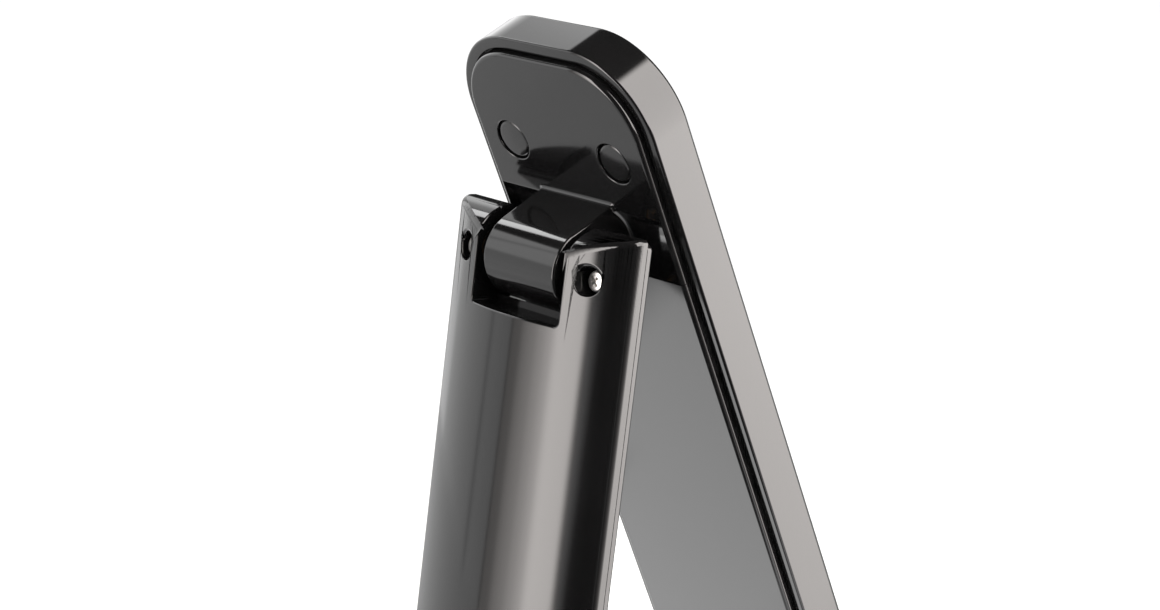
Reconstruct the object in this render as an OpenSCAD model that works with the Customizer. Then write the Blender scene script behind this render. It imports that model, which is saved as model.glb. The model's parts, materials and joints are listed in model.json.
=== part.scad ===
// Folding stand for a photo album: a deep, round-cornered front panel with a fold-out ledge,
// held up by a rear leg on a friction hinge. Millimetres, +Z up, origin on the table at the
// middle of the stand. The front panel faces -Y and the leg stands behind it, towards +Y.

/* [Stand] */
// Height of the leg's hinge axis above the table
hinge_h = 190; // [150:1:230]
// Lean of the front panel from upright, in degrees
panel_lean = 22.5; // [16:0.5:28]
// Lean of the rear leg from upright, in degrees
leg_lean = 9; // [6:0.5:14]
// Rubber between the table and the lowest edge of each shell
foot_t = 1.5; // [1:0.1:3]
// How far the rubber feet are let into the shells
foot_seat = 1; // [0.6:0.1:1.6]
// Gap left on each side between parts that fit together
fit_gap = 0.1; // [0.05:0.05:0.2]

/* [Front panel] */
// Width of the panel
panel_w = 54; // [50:0.5:68]
// Height of the panel's top edge above the hinge axis
panel_top = 41.8; // [36:0.2:52]
// Corner radius at the top of the panel
top_r = 17.6; // [10:0.2:21]
// Corner radius at the foot of the panel
bottom_r = 8; // [6:0.5:10]
// Depth of the outer frame, from its rear lip to its front edge
frame_depth = 9.6; // [9.4:0.1:12]
// Thickness of the outer frame's wall, which shows as its rear lip
frame_wall = 2.5; // [2:0.1:3]
// Width of the shelf inside the frame that the rear covers seat on
shelf_w = 1.2; // [0.8:0.1:1.4]
// Width of the frame's lip that the front plate seats on
rabbet_w = 1.3; // [1:0.1:1.6]
// Thickness of the front plate
plate_t = 2.2; // [1.8:0.1:2.6]
// How far the rear covers stand proud of the frame's lip
cover_proud = 1.6; // [1:0.1:2]
// Groove between the rear covers and the frame's lip
cover_groove = 0.35; // [0.2:0.05:0.6]
// Thickness of the rear covers
cover_t = 2; // [1.6:0.1:2.4]
// Thickness of the skirt that locates each rear cover in the frame
skirt_t = 1.2; // [1:0.1:1.6]
// How far the skirt reaches in from the cover
skirt_h = 2; // [1.4:0.1:2.6]
// Seam between the hinge cover and the rear cover below it
seam_gap = 0.12; // [0.1:0.02:0.3]

/* [Hinge cover] */
// Distance from the hinge axis to the face of the rear covers
axis_to_cover = 11.2; // [10.8:0.1:13.4]
// Half the height of the trough across the hinge cover
trough_half = 7.25; // [6:0.25:8.5]
// Wall left at each end of the trough
trough_side = 0.9; // [0.6:0.1:1.4]
// Width of the arm and barrel
arm_w = 21; // [19:0.2:22.6]
// Radius of the barrel at the end of the arm
barrel_r = 8.4; // [7.4:0.1:8.8]
// Underside of the arm below the hinge axis
arm_low = 6; // [5.6:0.1:6.8]
// Distance of the screw plugs from the middle of the panel
plug_x = 14.8; // [13:0.2:17]
// Height of the upper screw plugs above the hinge axis
plug_z = 18.6; // [16:0.2:20]
// Radius of the screw plugs
plug_r = 4.3; // [3.6:0.1:4.6]
// Thickness of the screw plugs
plug_t = 1.2; // [0.8:0.1:1.4]
// How far the plugs lie below the face of the cover
plug_recess = 0.15; // [0.1:0.05:0.6]
// Height of the lower screw plugs above the end of the panel
lower_plug_z = 62; // [60:0.5:78]

/* [Rear leg] */
// Width of the leg
leg_w = 52; // [48:0.5:64]
// Distance from the hinge axis to the crest of the leg's outer face
leg_crest = 9.65; // [9:0.05:10.6]
// Radius of the leg's curved outer face
leg_curve_r = 53.8; // [45:0.2:70]
// Distance from the hinge axis to the leg's flat inner face
leg_inner = 2.2; // [2:0.1:2.8]
// Distance from the hinge axis to the seam between the leg's two shells
leg_seam = 0.6; // [0.4:0.05:0.8]
// Gap that shows as a line between the leg's two shells
leg_seam_gap = 0.15; // [0.1:0.05:0.3]
// Wall of the leg's outer shell
leg_wall = 1.8; // [1.4:0.1:2.2]
// Radius of the rounded ears about the hinge axis
ear_r = 9; // [8.8:0.1:9.6]
// Width of the notch between the ears
notch_w = 26; // [25.6:0.1:27]
// Depth of the notch below the hinge axis
notch_drop = 10.3; // [9.8:0.1:12]
// Wall that lines the notch
notch_wall = 0.9; // [0.8:0.05:0.95]
// Gap between the barrel and the cradle that curves round it inside the notch
cradle_gap = 0.6; // [0.3:0.05:0.6]
// Depth at which the notch's flat floor meets the cradle, from the hinge axis
cradle_y = 1.5; // [0.5:0.1:3]
// Corner radius at the foot of the leg
leg_bottom_r = 8; // [5:0.5:10]

/* [Hinge] */
// Radius of the steel hinge shaft
shaft_r = 2; // [1.6:0.1:2.2]
// Running clearance of the knuckle and washers on the shaft
shaft_gap = 0.03; // [0.02:0.01:0.08]
// Radius of the bracket's knuckle
knuckle_r = 4.4; // [4:0.1:4.6]
// Length of the bracket's knuckle
knuckle_w = 18; // [16:0.5:18.4]
// Thickness of the bracket's base and of its web's half
bracket_t = 1.8; // [1.4:0.1:2]
// Thickness of each fork cheek
cheek_t = 1; // [0.8:0.05:1]
// Distance of the ear screws from the middle of the leg
ear_screw_x = 18; // [18:0.1:19]
// Radius of the counterbored holes for the ear screws
ear_hole_r = 2.8; // [2.4:0.1:2.8]
// Radius of the ear screws' heads
ear_head_r = 2.1; // [1.8:0.1:2.2]

/* [Ledge] */
// Width of the fold-out ledge
ledge_w = 42; // [36:0.5:42.4]
// Reach of the ledge from its pin
ledge_d = 34; // [28:0.5:38]
// Thickness of the ledge
ledge_t = 3.6; // [3.2:0.1:3.8]
// Height of the ledge's lip above its top face
lip_h = 3.8; // [3:0.1:4]
// Thickness of the ledge's lip
lip_t = 3; // [2.4:0.1:3.4]
// Radius of the ledge's steel pin
pin_r = 1; // [0.8:0.05:1.1]
// Height of the ledge's pin above the end of the panel
pin_up = 13; // [11:0.5:16]

/* [Hidden] */
$fn = 96;

// Depths in the panel's own frame, where the hinge axis is zero and the front is negative
y_cover = -axis_to_cover;
y_cover_in = y_cover - cover_t;
y_lip = y_cover - cover_proud;
y_front = y_lip - frame_depth;
y_plate_in = y_front + plate_t;
screw_seat_drop = 1.7;                       // from the cover's inner face to the screw's seat
y_seat = y_cover_in - screw_seat_drop;
y_base = y_seat - screw_seat_drop;           // back face of the bracket's base plate
screw_tip_gap = 1.2;                         // solid plate left in front of each screw's tip
y_tip = y_front + screw_tip_gap;

// Ends of the panel and the leg, so that both stand foot_t above the table
panel_end = -(hinge_h - y_lip * sin(panel_lean) - foot_t) / cos(panel_lean);
leg_end = -(hinge_h - leg_inner * sin(leg_lean) - foot_t) / cos(leg_lean);

// Rear covers
shelf_inset = frame_wall + shelf_w;
cover_inset = frame_wall + cover_groove;
cover_half = panel_w / 2 - cover_inset;
cover_top = panel_top - cover_inset;
cover_top_r = top_r - cover_inset;
cover_bottom = panel_end + cover_inset;
cover_bottom_r = bottom_r - cover_inset;
trough_r = sqrt(pow(axis_to_cover, 2) + pow(trough_half, 2));
trough_wall = 1.5;
weld = 0.5;                                  // how far joined shapes run into each other
past = 1;                                    // how far a cut runs past the face that it opens
boss_wall = 1.2;
lower_plug = panel_end + lower_plug_z;

// Cover screws
shank_r = 1.4;
head_r = 2.7;
head_h = 1.5;
screw_gap = 0.2;
thread_gap = 0.03;
thread_wall = 1.6;                           // wall of the bosses that the screws cut their thread in
thread_end = 0.2;                            // hole left past each screw's tip
recess_w = 0.7;
recess_reach = 0.62;                         // half the recess's length as a share of the head's radius
recess_depth = 0.8;

// Bracket
base_half = 19.6;
base_r = 3;
web_gap = 1;                                 // from the shaft's bore to the bracket's web
base_low = -11;
base_high = plug_z + 5.5;
bracket_screw_z = -5.5;
bracket_screw_x = 15.5;
small_head_r = 2.1;
small_head_h = 1.1;
small_shank_r = 1.1;
small_thread_wall = 1.4;
pocket_gap = 0.3;                            // room round the knuckle in the barrel
y_shelf = y_cover_in - skirt_h;              // where the covers' skirts end

// Leg
leg_half = leg_w / 2;
leg_joint = -leg_seam - leg_seam_gap;        // inner cover's back face, where the posts meet it
notch_half = notch_w / 2;
notch_r = 1.2;
notch_top = 5;                               // how far the notch's cut runs past the ears
inner_top = ear_r - 0.9;
inner_top_r = 1.2;
cheek_gap = 0.1;                             // from the notch's wall to the fork's cheek
cheek_x = notch_half + notch_wall + cheek_gap;
eye_r = 3.6;
blister_wall = 1.2;
blister_gap = 0.3;
blister_r = eye_r + blister_gap + blister_wall;
blister_end = cheek_x + cheek_t + 3.2;
cheek_inner_y = 0.3 - leg_seam;              // edge of each cheek nearest the panel
spacer_r = 3.1;
spacer_hole_r = spacer_r + 0.3;
fork_low = -38;
fork_high = -notch_drop - notch_wall - 0.8;  // top of the fork's base, below the notch's floor
fork_y = 1.2;                                // inner face of the fork's base plate
fork_screw_x = 8;
fork_screw_z = -27;
ear_screw_z = -0.3;
ear_head_h = 2.1;
ear_seat_y = 2.5;
ear_floor_t = 0.9;
ear_post_wall = 0.8;
ear_screw_end = 0.2 - leg_seam;
ear_shank_r = 1.25;
tab_y = ear_seat_y - ear_floor_t;            // outer face of the fork's screw tabs
tab_t = 1.2;
tab_half = 4.6;
tab_gap = 0.2;                               // from the shaft's end to the tab beside it
tab_low = -9;
tab_out = ear_screw_x + 3.6;
rib_t = 1;
rib_pitch = 24;
rib_start = -54;
rib_count = floor((-leg_end + rib_start - 10) / rib_pitch) + 1;
inner_screw_z = [-48, (leg_end - 48) / 2 - 6, leg_end + 15];
inner_head_r = 2;
inner_head_h = 0.9;
inner_shank_r = 1;
inner_screw_l = 7;
fork_screw_l = 4;
leg_boss_r = 2.4;

// Friction stack between the knuckle and the fork
stack_gap = 0.02;
washer_r = 4;
washer_t = 1;
spring_r = 3.7;
spring_t = 0.5;
spring_count = 2;
shaft_half = cheek_x + cheek_t;

// Feet
foot_half = min(panel_w / 2 - bottom_r, leg_half - leg_bottom_r) + 2;
foot_edge = 0.9;
leg_foot_top = 4.6;

// Ledge and its pocket
pin_y = y_front + ledge_t / 2;
pin_z = panel_end + pin_up;
pin_gap = 0.05;
pin_half = ledge_w / 2 + 1.3;
pocket_half = ledge_w / 2 + 0.35;
pocket_low = pin_z - ledge_t / 2 - 0.08;
pocket_high = pin_z + ledge_d + 1;
nail_half = 8;                               // fingernail dip above the folded ledge
nail_h = 5;
nail_depth = 1.3;
pocket_floor = pin_y + ledge_t / 2 + 0.55;
lip_floor = pin_y + ledge_t / 2 + lip_h + 0.4;
lip_low = pin_z + ledge_d - lip_t - 0.5;
pocket_wall = 1.2;
pad_t = 0.8;
pad_seat = 0.5;
pad_half = ledge_w / 2 - 4;
pad_end = 6;
pad_start = lip_t - ledge_d + 1.5;           // the pad's edge beside the lip
pin_fit = 0.02;
pin_end_gap = 0.1;

// Grip pad on the front plate
grip_half = panel_w / 2 - 10;
grip_low = pocket_high + 9;
grip_high = panel_top - 14;
grip_r = 8;
grip_t = 0.9;
grip_seat = 0.5;

// Front plate's stiffening ribs
plate_rib_h = 2.6;
plate_rib_end = 2;                           // from each rib's end to the cover's edge
plate_rib_t = 1.1;
plate_rib_pitch = 22;
plate_rib_start = base_low - 10;
plate_rib_count = floor((plate_rib_start - (lower_plug + 8)) / plate_rib_pitch) + 1;

// The hinge axis lies where the stand's depth is centred on the origin
front_reach = (pin_y - ledge_d) * cos(panel_lean) + (pin_z - ledge_t / 2) * sin(panel_lean);
rear_reach = leg_crest * cos(leg_lean) - leg_end * sin(leg_lean);
hinge_y = -(front_reach + rear_reach) / 2;

// ---------------------------------------------------------------- helpers

// Places things drawn about the hinge axis into the leaning panel
module at_panel() {
    translate([0, hinge_y, hinge_h]) rotate([-panel_lean, 0, 0]) children();
}

// Places things drawn about the hinge axis into the leaning leg
module at_leg() {
    translate([0, hinge_y, hinge_h]) rotate([leg_lean, 0, 0]) children();
}

// Places things drawn about the ledge's pin into the panel
module at_pin() {
    at_panel() translate([0, pin_y, pin_z]) children();
}

// A slab from y_back forward to y_fore, with its outline drawn in x and z
module slab(y_back, y_fore) {
    translate([0, y_back, 0]) rotate([90, 0, 0]) linear_extrude(y_back - y_fore) children();
}

// A rectangle with its own radius at the two low and the two high corners
module round_rect(half, low, high, r_low, r_high) {
    translate([-half, low + r_low]) square([2 * half, high - low - r_low - r_high]);
    if (r_low > 0) {
        translate([r_low - half, low]) square([2 * (half - r_low), r_low * 2]);
        for (side = [-1, 1]) translate([side * (half - r_low), low + r_low]) circle(r_low);
    }
    if (r_high > 0) {
        translate([r_high - half, high - r_high * 2]) square([2 * (half - r_high), r_high * 2]);
        for (side = [-1, 1]) translate([side * (half - r_high), high - r_high]) circle(r_high);
    }
}

// A box between two corners
module block(a, b) {
    translate(a) cube(b - a);
}

// A rod along X, between two places
module rod_x(r, from, to) {
    translate([from, 0, 0]) rotate([0, 90, 0]) cylinder(r = r, h = to - from);
}

// A rod along Y, from y_back forward to y_fore
module rod_y(r, y_back, y_fore) {
    translate([0, y_back, 0]) rotate([90, 0, 0]) cylinder(r = r, h = y_back - y_fore);
}

// The same thing on both sides of the middle
module both() {
    for (side = [0, 1]) mirror([side, 0, 0]) children();
}

// A pan-head screw along Y with a cross recess: its head's face is at y_head, its tip at y_end
module screw(r_head, h_head, r_shank, y_head, y_end, turn = 1) {
    under = y_head - turn * h_head;
    difference() {
        union() {
            rod_y(r_head, max(y_head, under), min(y_head, under));
            rod_y(r_shank, max(under, y_end), min(under, y_end));
        }
        for (spin = [0, 90]) rotate([0, spin, 0])
            translate([-r_head * recess_reach, y_head - recess_depth, -recess_w / 2])
                cube([2 * r_head * recess_reach, 2 * recess_depth, recess_w]);
    }
}

// ---------------------------------------------------------------- front panel

module outer_frame() color([0.09, 0.09, 0.095]) at_panel() difference() {
    slab(y_lip, y_front) round_rect(panel_w / 2, panel_end, panel_top, bottom_r, top_r);
    slab(y_lip + past, y_shelf) round_rect(panel_w / 2 - frame_wall, panel_end + frame_wall,
        panel_top - frame_wall, bottom_r - frame_wall, top_r - frame_wall);
    slab(y_shelf + past, y_front - past) round_rect(panel_w / 2 - shelf_inset, panel_end + shelf_inset,
        panel_top - shelf_inset, bottom_r - shelf_inset, top_r - shelf_inset);
    slab(y_plate_in, y_front - past) round_rect(panel_w / 2 - rabbet_w, panel_end + rabbet_w,
        panel_top - rabbet_w, bottom_r - rabbet_w, top_r - rabbet_w);
    block([-foot_half - fit_gap, y_front + foot_edge, panel_end - past],
        [foot_half + fit_gap, y_lip - foot_edge, panel_end + foot_seat]);
}

// Solid front plate with the ledge's tub, the screw bosses and the ribs
module plate_body() {
    plate_inset = rabbet_w + fit_gap;
    slab(y_plate_in, y_front) round_rect(panel_w / 2 - plate_inset, panel_end + plate_inset,
        panel_top - plate_inset, bottom_r - plate_inset, top_r - plate_inset);
    block([-pocket_half - pocket_wall, y_front, pocket_low - pocket_wall],
        [pocket_half + pocket_wall, pocket_floor + pocket_wall, pocket_high + pocket_wall]);
    block([-pocket_half - pocket_wall, y_front, lip_low - pocket_wall],
        [pocket_half + pocket_wall, lip_floor + pocket_wall, pocket_high + pocket_wall]);
    both() {
        translate([plug_x, 0, plug_z]) rod_y(shank_r + thread_wall, y_base - bracket_t, y_front + past);
        translate([bracket_screw_x, 0, bracket_screw_z])
            rod_y(small_shank_r + small_thread_wall, y_base - bracket_t, y_front + past);
        translate([plug_x, 0, lower_plug])
            rod_y(shank_r + thread_wall, y_base - bracket_t, y_front + past);
    }
    for (i = [0 : plate_rib_count - 1]) translate([0, 0, plate_rib_start - i * plate_rib_pitch])
        block([plate_rib_end - cover_half, y_front + past, 0],
            [cover_half - plate_rib_end, y_plate_in + plate_rib_h, plate_rib_t]);
}

module front_plate() color([0.07, 0.07, 0.075]) at_panel() difference() {
    plate_body();
    block([-pocket_half, y_front - past, pocket_low], [pocket_half, pocket_floor, pocket_high]);
    block([-pocket_half, y_front - past, lip_low], [pocket_half, lip_floor, pocket_high]);
    translate([0, pin_y, pin_z]) rod_x(pin_r + pin_fit, -pin_half - pin_end_gap, pin_half + pin_end_gap);
    slab(y_front + nail_depth, y_front - past)
        round_rect(nail_half, pocket_high - past, pocket_high + nail_h, 0, nail_h / 2);
    slab(y_front + grip_seat, y_front - past)
        round_rect(grip_half + fit_gap, grip_low - fit_gap, grip_high + fit_gap, grip_r, grip_r);
    both() {
        translate([plug_x, 0, plug_z]) rod_y(shank_r + thread_gap, y_base, y_tip - thread_end);
        translate([bracket_screw_x, 0, bracket_screw_z])
            rod_y(small_shank_r + thread_gap, y_base, y_tip - thread_end);
        translate([plug_x, 0, lower_plug]) rod_y(shank_r + thread_gap, y_base, y_tip - thread_end);
    }
}

module grip_pad() color([0.13, 0.13, 0.135]) at_panel()
    slab(y_front + grip_seat, y_front + grip_seat - grip_t)
        round_rect(grip_half, grip_low, grip_high, grip_r, grip_r);

module panel_foot() color([0.05, 0.05, 0.05]) intersection() {
    at_panel() block([-foot_half, y_front + foot_edge + fit_gap, panel_end - 20],
        [foot_half, y_lip - foot_edge - fit_gap, panel_end + foot_seat]);
    translate([-panel_w, -hinge_h, 0]) cube([2 * panel_w, 2 * hinge_h, hinge_h]);
}

// A cover's plate and skirt; the skirt is left off beside the seam between the two covers
module cover_plate(low, high, r_low, r_high) {
    skirt_low = r_low > 0 ? low : low - 5;
    skirt_high = r_high > 0 ? high : high + 5;
    slab(y_cover, y_cover_in) round_rect(cover_half, low, high, r_low, r_high);
    difference() {
        slab(y_cover_in, y_shelf) round_rect(cover_half, low, high, r_low, r_high);
        slab(y_cover_in + past, y_shelf - past) round_rect(cover_half - skirt_t,
            skirt_low + skirt_t, skirt_high - skirt_t, max(r_low - skirt_t, 0), max(r_high - skirt_t, 0));
    }
}

// The post behind a plug, and the hole that cuts it
module plug_post(z, y_fore) {
    both() translate([plug_x, 0, z]) rod_y(plug_r + boss_wall, y_cover_in + weld, y_fore);
}
module plug_hole(z) {
    both() translate([plug_x, 0, z]) {
        rod_y(plug_r + fit_gap, y_cover + past, y_seat);
        rod_y(shank_r + screw_gap, y_seat + past, y_base - bracket_t - past);
    }
}

module hinge_cover() color([0.06, 0.06, 0.065]) at_panel() difference() {
    union() {
        difference() {
            union() {
                cover_plate(-trough_half, cover_top, 0, cover_top_r);
                block([-cover_half, -trough_r - trough_wall, -trough_half],
                    [cover_half, y_cover - weld, trough_half + trough_wall]);
            }
            rod_x(trough_r, trough_side - cover_half, cover_half - trough_side);
        }
        block([-arm_w / 2, -trough_r - weld, -arm_low], [arm_w / 2, 0, barrel_r]);
        rod_x(barrel_r, -arm_w / 2, arm_w / 2);
        plug_post(plug_z, y_base);
    }
    rod_x(knuckle_r + pocket_gap, -arm_w / 2 - past, arm_w / 2 + past);
    block([-knuckle_w / 2 - pocket_gap, -trough_r - trough_wall - past, -knuckle_r - pocket_gap],
        [knuckle_w / 2 + pocket_gap, 0, knuckle_r + pocket_gap]);
    plug_hole(plug_z);
}

module rear_cover() color([0.06, 0.06, 0.065]) at_panel() difference() {
    union() {
        cover_plate(cover_bottom, -trough_half - seam_gap, cover_bottom_r, 0);
        plug_post(lower_plug, y_base - bracket_t);
    }
    plug_hole(lower_plug);
}

module screw_plugs(z) color([0.1, 0.1, 0.105]) at_panel() both()
    translate([plug_x, 0, z]) rod_y(plug_r, y_cover - plug_recess, y_cover - plug_recess - plug_t);

module cover_screws(z) color([0.72, 0.72, 0.74]) at_panel() both()
    translate([plug_x, 0, z]) screw(head_r, head_h, shank_r, y_seat + head_h, y_tip);

module hinge_bracket() color([0.62, 0.63, 0.65]) at_panel() difference() {
    union() {
        rod_x(knuckle_r, -knuckle_w / 2, knuckle_w / 2);
        block([-knuckle_w / 2, y_base - weld, -bracket_t], [knuckle_w / 2, -shaft_r - web_gap, bracket_t]);
        slab(y_base, y_base - bracket_t) round_rect(base_half, base_low, base_high, base_r, base_r);
    }
    rod_x(shaft_r + shaft_gap, -knuckle_w, knuckle_w);
    both() {
        translate([plug_x, 0, plug_z])
            rod_y(shank_r + screw_gap, y_base + past, y_base - bracket_t - past);
        translate([bracket_screw_x, 0, bracket_screw_z])
            rod_y(small_shank_r + screw_gap, y_base + past, y_base - bracket_t - past);
    }
}

module bracket_screws() color([0.72, 0.72, 0.74]) at_panel() both()
    translate([bracket_screw_x, 0, bracket_screw_z])
        screw(small_head_r, small_head_h, small_shank_r, y_base + small_head_h, y_tip);

// ---------------------------------------------------------------- rear leg

// The leg's whole outer form drawn in by inset, from the depth y_low outwards
module leg_form(inset, y_low) {
    half = leg_half - inset;
    low = leg_end + inset;
    intersection() {
        translate([0, 0, low]) linear_extrude(ear_r - low) intersection() {
            translate([0, leg_crest - leg_curve_r]) circle(leg_curve_r - inset, $fn = 240);
            translate([-half, y_low]) square([2 * half, leg_crest - y_low]);
        }
        slab(leg_crest + past, y_low - past) round_rect(half, low, ear_r + past, leg_bottom_r - inset, 0);
        union() {
            rod_x(ear_r - inset, -leg_w, leg_w);
            block([-leg_w, -leg_w, low - past], [leg_w, leg_w, 0]);
        }
    }
}

// The notch between the ears, with small rounds at its foot, grown by a wall
module notch(grow, y_low) {
    slab(leg_crest + past, y_low)
        round_rect(notch_half + grow, -notch_drop - grow, ear_r + notch_top, notch_r + grow, 0);
}

// All that is cut away for the barrel and arm: the notch, and the cradle's round behind it
module barrel_room() {
    notch(0, cradle_y);
    rod_x(barrel_r + cradle_gap, -notch_half, notch_half);
    block([-notch_half, -leg_w, 0], [notch_half, leg_w, ear_r + notch_top]);
}

// Posts inside the outer shell that take screws from the inner side
module shell_posts() {
    for (side = [-1, 1]) translate([side * fork_screw_x, 0, fork_screw_z])
        rod_y(leg_boss_r, leg_crest, fork_y + cheek_t);
    for (z = inner_screw_z) translate([0, 0, z]) rod_y(leg_boss_r, leg_crest, leg_joint);
}

// Tubes down to the seats of the ear screws, cut back where the fork's cheeks pass
module ear_posts() difference() {
    both() translate([ear_screw_x, 0, ear_screw_z]) rod_y(ear_hole_r + ear_post_wall, leg_crest, tab_y);
    block([-shaft_half - cheek_gap, -leg_w, -leg_w], [shaft_half + cheek_gap, eye_r + blister_gap, leg_w]);
}

module leg_outer_shell() color([0.06, 0.06, 0.065]) at_leg() difference() {
    union() {
        difference() {
            leg_form(0, -leg_seam);
            leg_form(leg_wall, -leg_seam - past);
        }
        intersection() {
            leg_form(0, leg_joint);
            shell_posts();
        }
        intersection() {
            leg_form(0, -leg_seam);
            union() {
                notch(notch_wall, -leg_seam);
                ear_posts();
                for (i = [0 : rib_count - 1]) translate([0, 0, rib_start - i * rib_pitch])
                    block([-leg_half, tab_y, 0], [leg_half, leg_crest, rib_t]);
            }
        }
    }
    barrel_room();
    rod_x(spacer_hole_r, -cheek_x, cheek_x);
    both() translate([ear_screw_x, 0, ear_screw_z]) {
        rod_y(ear_hole_r, leg_crest + past, ear_seat_y);
        rod_y(ear_shank_r + screw_gap, ear_seat_y + past, tab_y - past);
    }
    for (side = [-1, 1]) translate([side * fork_screw_x, 0, fork_screw_z])
        rod_y(inner_shank_r + thread_gap, leg_crest - leg_wall - past, fork_y);
    for (z = inner_screw_z) translate([0, 0, z])
        rod_y(inner_shank_r + thread_gap, leg_crest - leg_wall - past, leg_joint - past);
    block([-foot_half - fit_gap, foot_edge - leg_inner, leg_end - past],
        [foot_half + fit_gap, leg_foot_top + fit_gap, leg_end + foot_seat]);
}

module leg_inner_cover() color([0.07, 0.07, 0.075]) at_leg() difference() {
    union() {
        slab(leg_joint, -leg_inner) round_rect(leg_half, leg_end, inner_top, leg_bottom_r, inner_top_r);
        intersection() {
            both() rod_x(blister_r, notch_half, blister_end);
            block([-leg_w, -blister_r, -blister_r], [leg_w, leg_joint, blister_r]);
        }
    }
    barrel_room();
    both() {
        rod_x(blister_r - blister_wall, cheek_x - cheek_gap, blister_end - blister_wall);
        rod_x(spacer_hole_r, notch_half - past, cheek_x);
    }
    for (z = inner_screw_z) translate([0, 0, z]) {
        rod_y(inner_shank_r + screw_gap, leg_joint + past, -leg_inner - past);
        rod_y(inner_head_r + screw_gap, inner_head_h - leg_inner, -leg_inner - past);
    }
    block([-foot_half - fit_gap, foot_edge - leg_inner, leg_end - past],
        [foot_half + fit_gap, leg_foot_top + fit_gap, leg_end + foot_seat]);
}

module leg_foot() color([0.05, 0.05, 0.05]) intersection() {
    at_leg() block([-foot_half, foot_edge + fit_gap - leg_inner, leg_end - 20],
        [foot_half, leg_foot_top, leg_end + foot_seat]);
    translate([-leg_w, -hinge_h, 0]) cube([2 * leg_w, 2 * hinge_h, hinge_h]);
}

// One stamped steel fork: a base plate, two cheeks with eyes, and a threaded tab beside each eye
module hinge_fork() color([0.62, 0.63, 0.65]) at_leg() difference() {
    union() {
        block([-cheek_x - cheek_t, fork_y, fork_low],
            [cheek_x + cheek_t, fork_y + cheek_t, fork_high]);
        both() {
            rod_x(eye_r, cheek_x, cheek_x + cheek_t);
            block([cheek_x, cheek_inner_y, fork_low], [cheek_x + cheek_t, fork_y + cheek_t, 0]);
            block([cheek_x, tab_y - tab_t, tab_low], [tab_out, tab_y, -tab_half]);
            block([shaft_half + tab_gap, tab_y - tab_t, tab_low], [tab_out, tab_y, tab_half]);
        }
    }
    rod_x(shaft_r, -shaft_half, shaft_half);
    both() translate([ear_screw_x, 0, ear_screw_z]) rod_y(ear_shank_r + thread_gap, leg_w, -leg_w);
    for (side = [-1, 1]) translate([side * fork_screw_x, 0, fork_screw_z])
        rod_y(inner_shank_r + screw_gap, leg_w, -leg_w);
}

module fork_screws() color([0.72, 0.72, 0.74]) at_leg()
    for (side = [-1, 1]) translate([side * fork_screw_x, 0, fork_screw_z]) mirror([0, 1, 0])
        screw(small_head_r, small_head_h, inner_shank_r, small_head_h - fork_y, -fork_y - fork_screw_l);

module ear_screws() color([0.78, 0.78, 0.8]) at_leg() both()
    translate([ear_screw_x, 0, ear_screw_z])
        screw(ear_head_r, ear_head_h, ear_shank_r, ear_seat_y + ear_head_h, ear_screw_end);

module inner_cover_screws() color([0.72, 0.72, 0.74]) at_leg()
    for (z = inner_screw_z) translate([0, 0, z]) mirror([0, 1, 0])
        screw(inner_head_r, inner_head_h, inner_shank_r, leg_inner, leg_inner - inner_screw_l);

// ---------------------------------------------------------------- hinge

module hinge_shaft() color([0.75, 0.75, 0.77]) at_leg() rod_x(shaft_r, -shaft_half, shaft_half);

// Rings on the shaft on both sides of the knuckle
module rings(r, from, to) {
    both() difference() {
        rod_x(r, from, to);
        rod_x(shaft_r + shaft_gap, from - past, to + past);
    }
}

module friction_washers() color([0.72, 0.55, 0.3]) at_leg()
    rings(washer_r, knuckle_w / 2 + stack_gap, knuckle_w / 2 + stack_gap + washer_t);

// Cupped spring washers, set face to face in pairs
module disc_springs() color([0.55, 0.56, 0.58]) at_leg() {
    first = knuckle_w / 2 + 2 * stack_gap + washer_t;
    for (i = [0 : spring_count - 1]) {
        start = first + i * (spring_t + stack_gap);
        rings(spring_r, start, start + spring_t);
    }
}

module spacer_bushes() color([0.66, 0.67, 0.69]) at_leg()
    rings(spacer_r, knuckle_w / 2 + washer_t + spring_count * (spring_t + stack_gap) + 3 * stack_gap,
        cheek_x - stack_gap);

// ---------------------------------------------------------------- ledge

module album_ledge() color([0.07, 0.07, 0.075]) at_pin() difference() {
    union() {
        block([-ledge_w / 2, -ledge_d, -ledge_t / 2], [ledge_w / 2, 0, ledge_t / 2]);
        block([-ledge_w / 2, -ledge_d, -ledge_t / 2], [ledge_w / 2, lip_t - ledge_d, ledge_t / 2 + lip_h]);
        rod_x(ledge_t / 2, -ledge_w / 2, ledge_w / 2);
    }
    rod_x(pin_r + pin_gap, -ledge_w, ledge_w);
    block([-pad_half - fit_gap, pad_start, ledge_t / 2 - pad_seat],
        [pad_half + fit_gap, -pad_end, ledge_t]);
}

module ledge_pad() color([0.13, 0.13, 0.135]) at_pin()
    block([-pad_half, pad_start + fit_gap, ledge_t / 2 - pad_seat],
        [pad_half, -pad_end - fit_gap, ledge_t / 2 - pad_seat + pad_t]);

module ledge_pin() color([0.75, 0.75, 0.77]) at_pin() rod_x(pin_r, -pin_half, pin_half);

outer_frame();
front_plate();
grip_pad();
panel_foot();
hinge_cover();
rear_cover();
screw_plugs(plug_z);  // upper_screw_plugs
screw_plugs(lower_plug);  // lower_screw_plugs
cover_screws(plug_z);  // upper_cover_screws
cover_screws(lower_plug);  // lower_cover_screws
hinge_bracket();
bracket_screws();
leg_outer_shell();
leg_inner_cover();
leg_foot();
hinge_fork();
fork_screws();
ear_screws();
inner_cover_screws();
hinge_shaft();
friction_washers();
disc_springs();
spacer_bushes();
album_ledge();
ledge_pad();
ledge_pin();
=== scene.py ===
"""A folding stand for a photo album, in glossy black plastic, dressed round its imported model."""

import json
import logging
import math
from contextlib import contextmanager
from dataclasses import dataclass, field
from enum import Enum
from typing import Callable, ClassVar, Iterable, Iterator, Sequence

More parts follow.
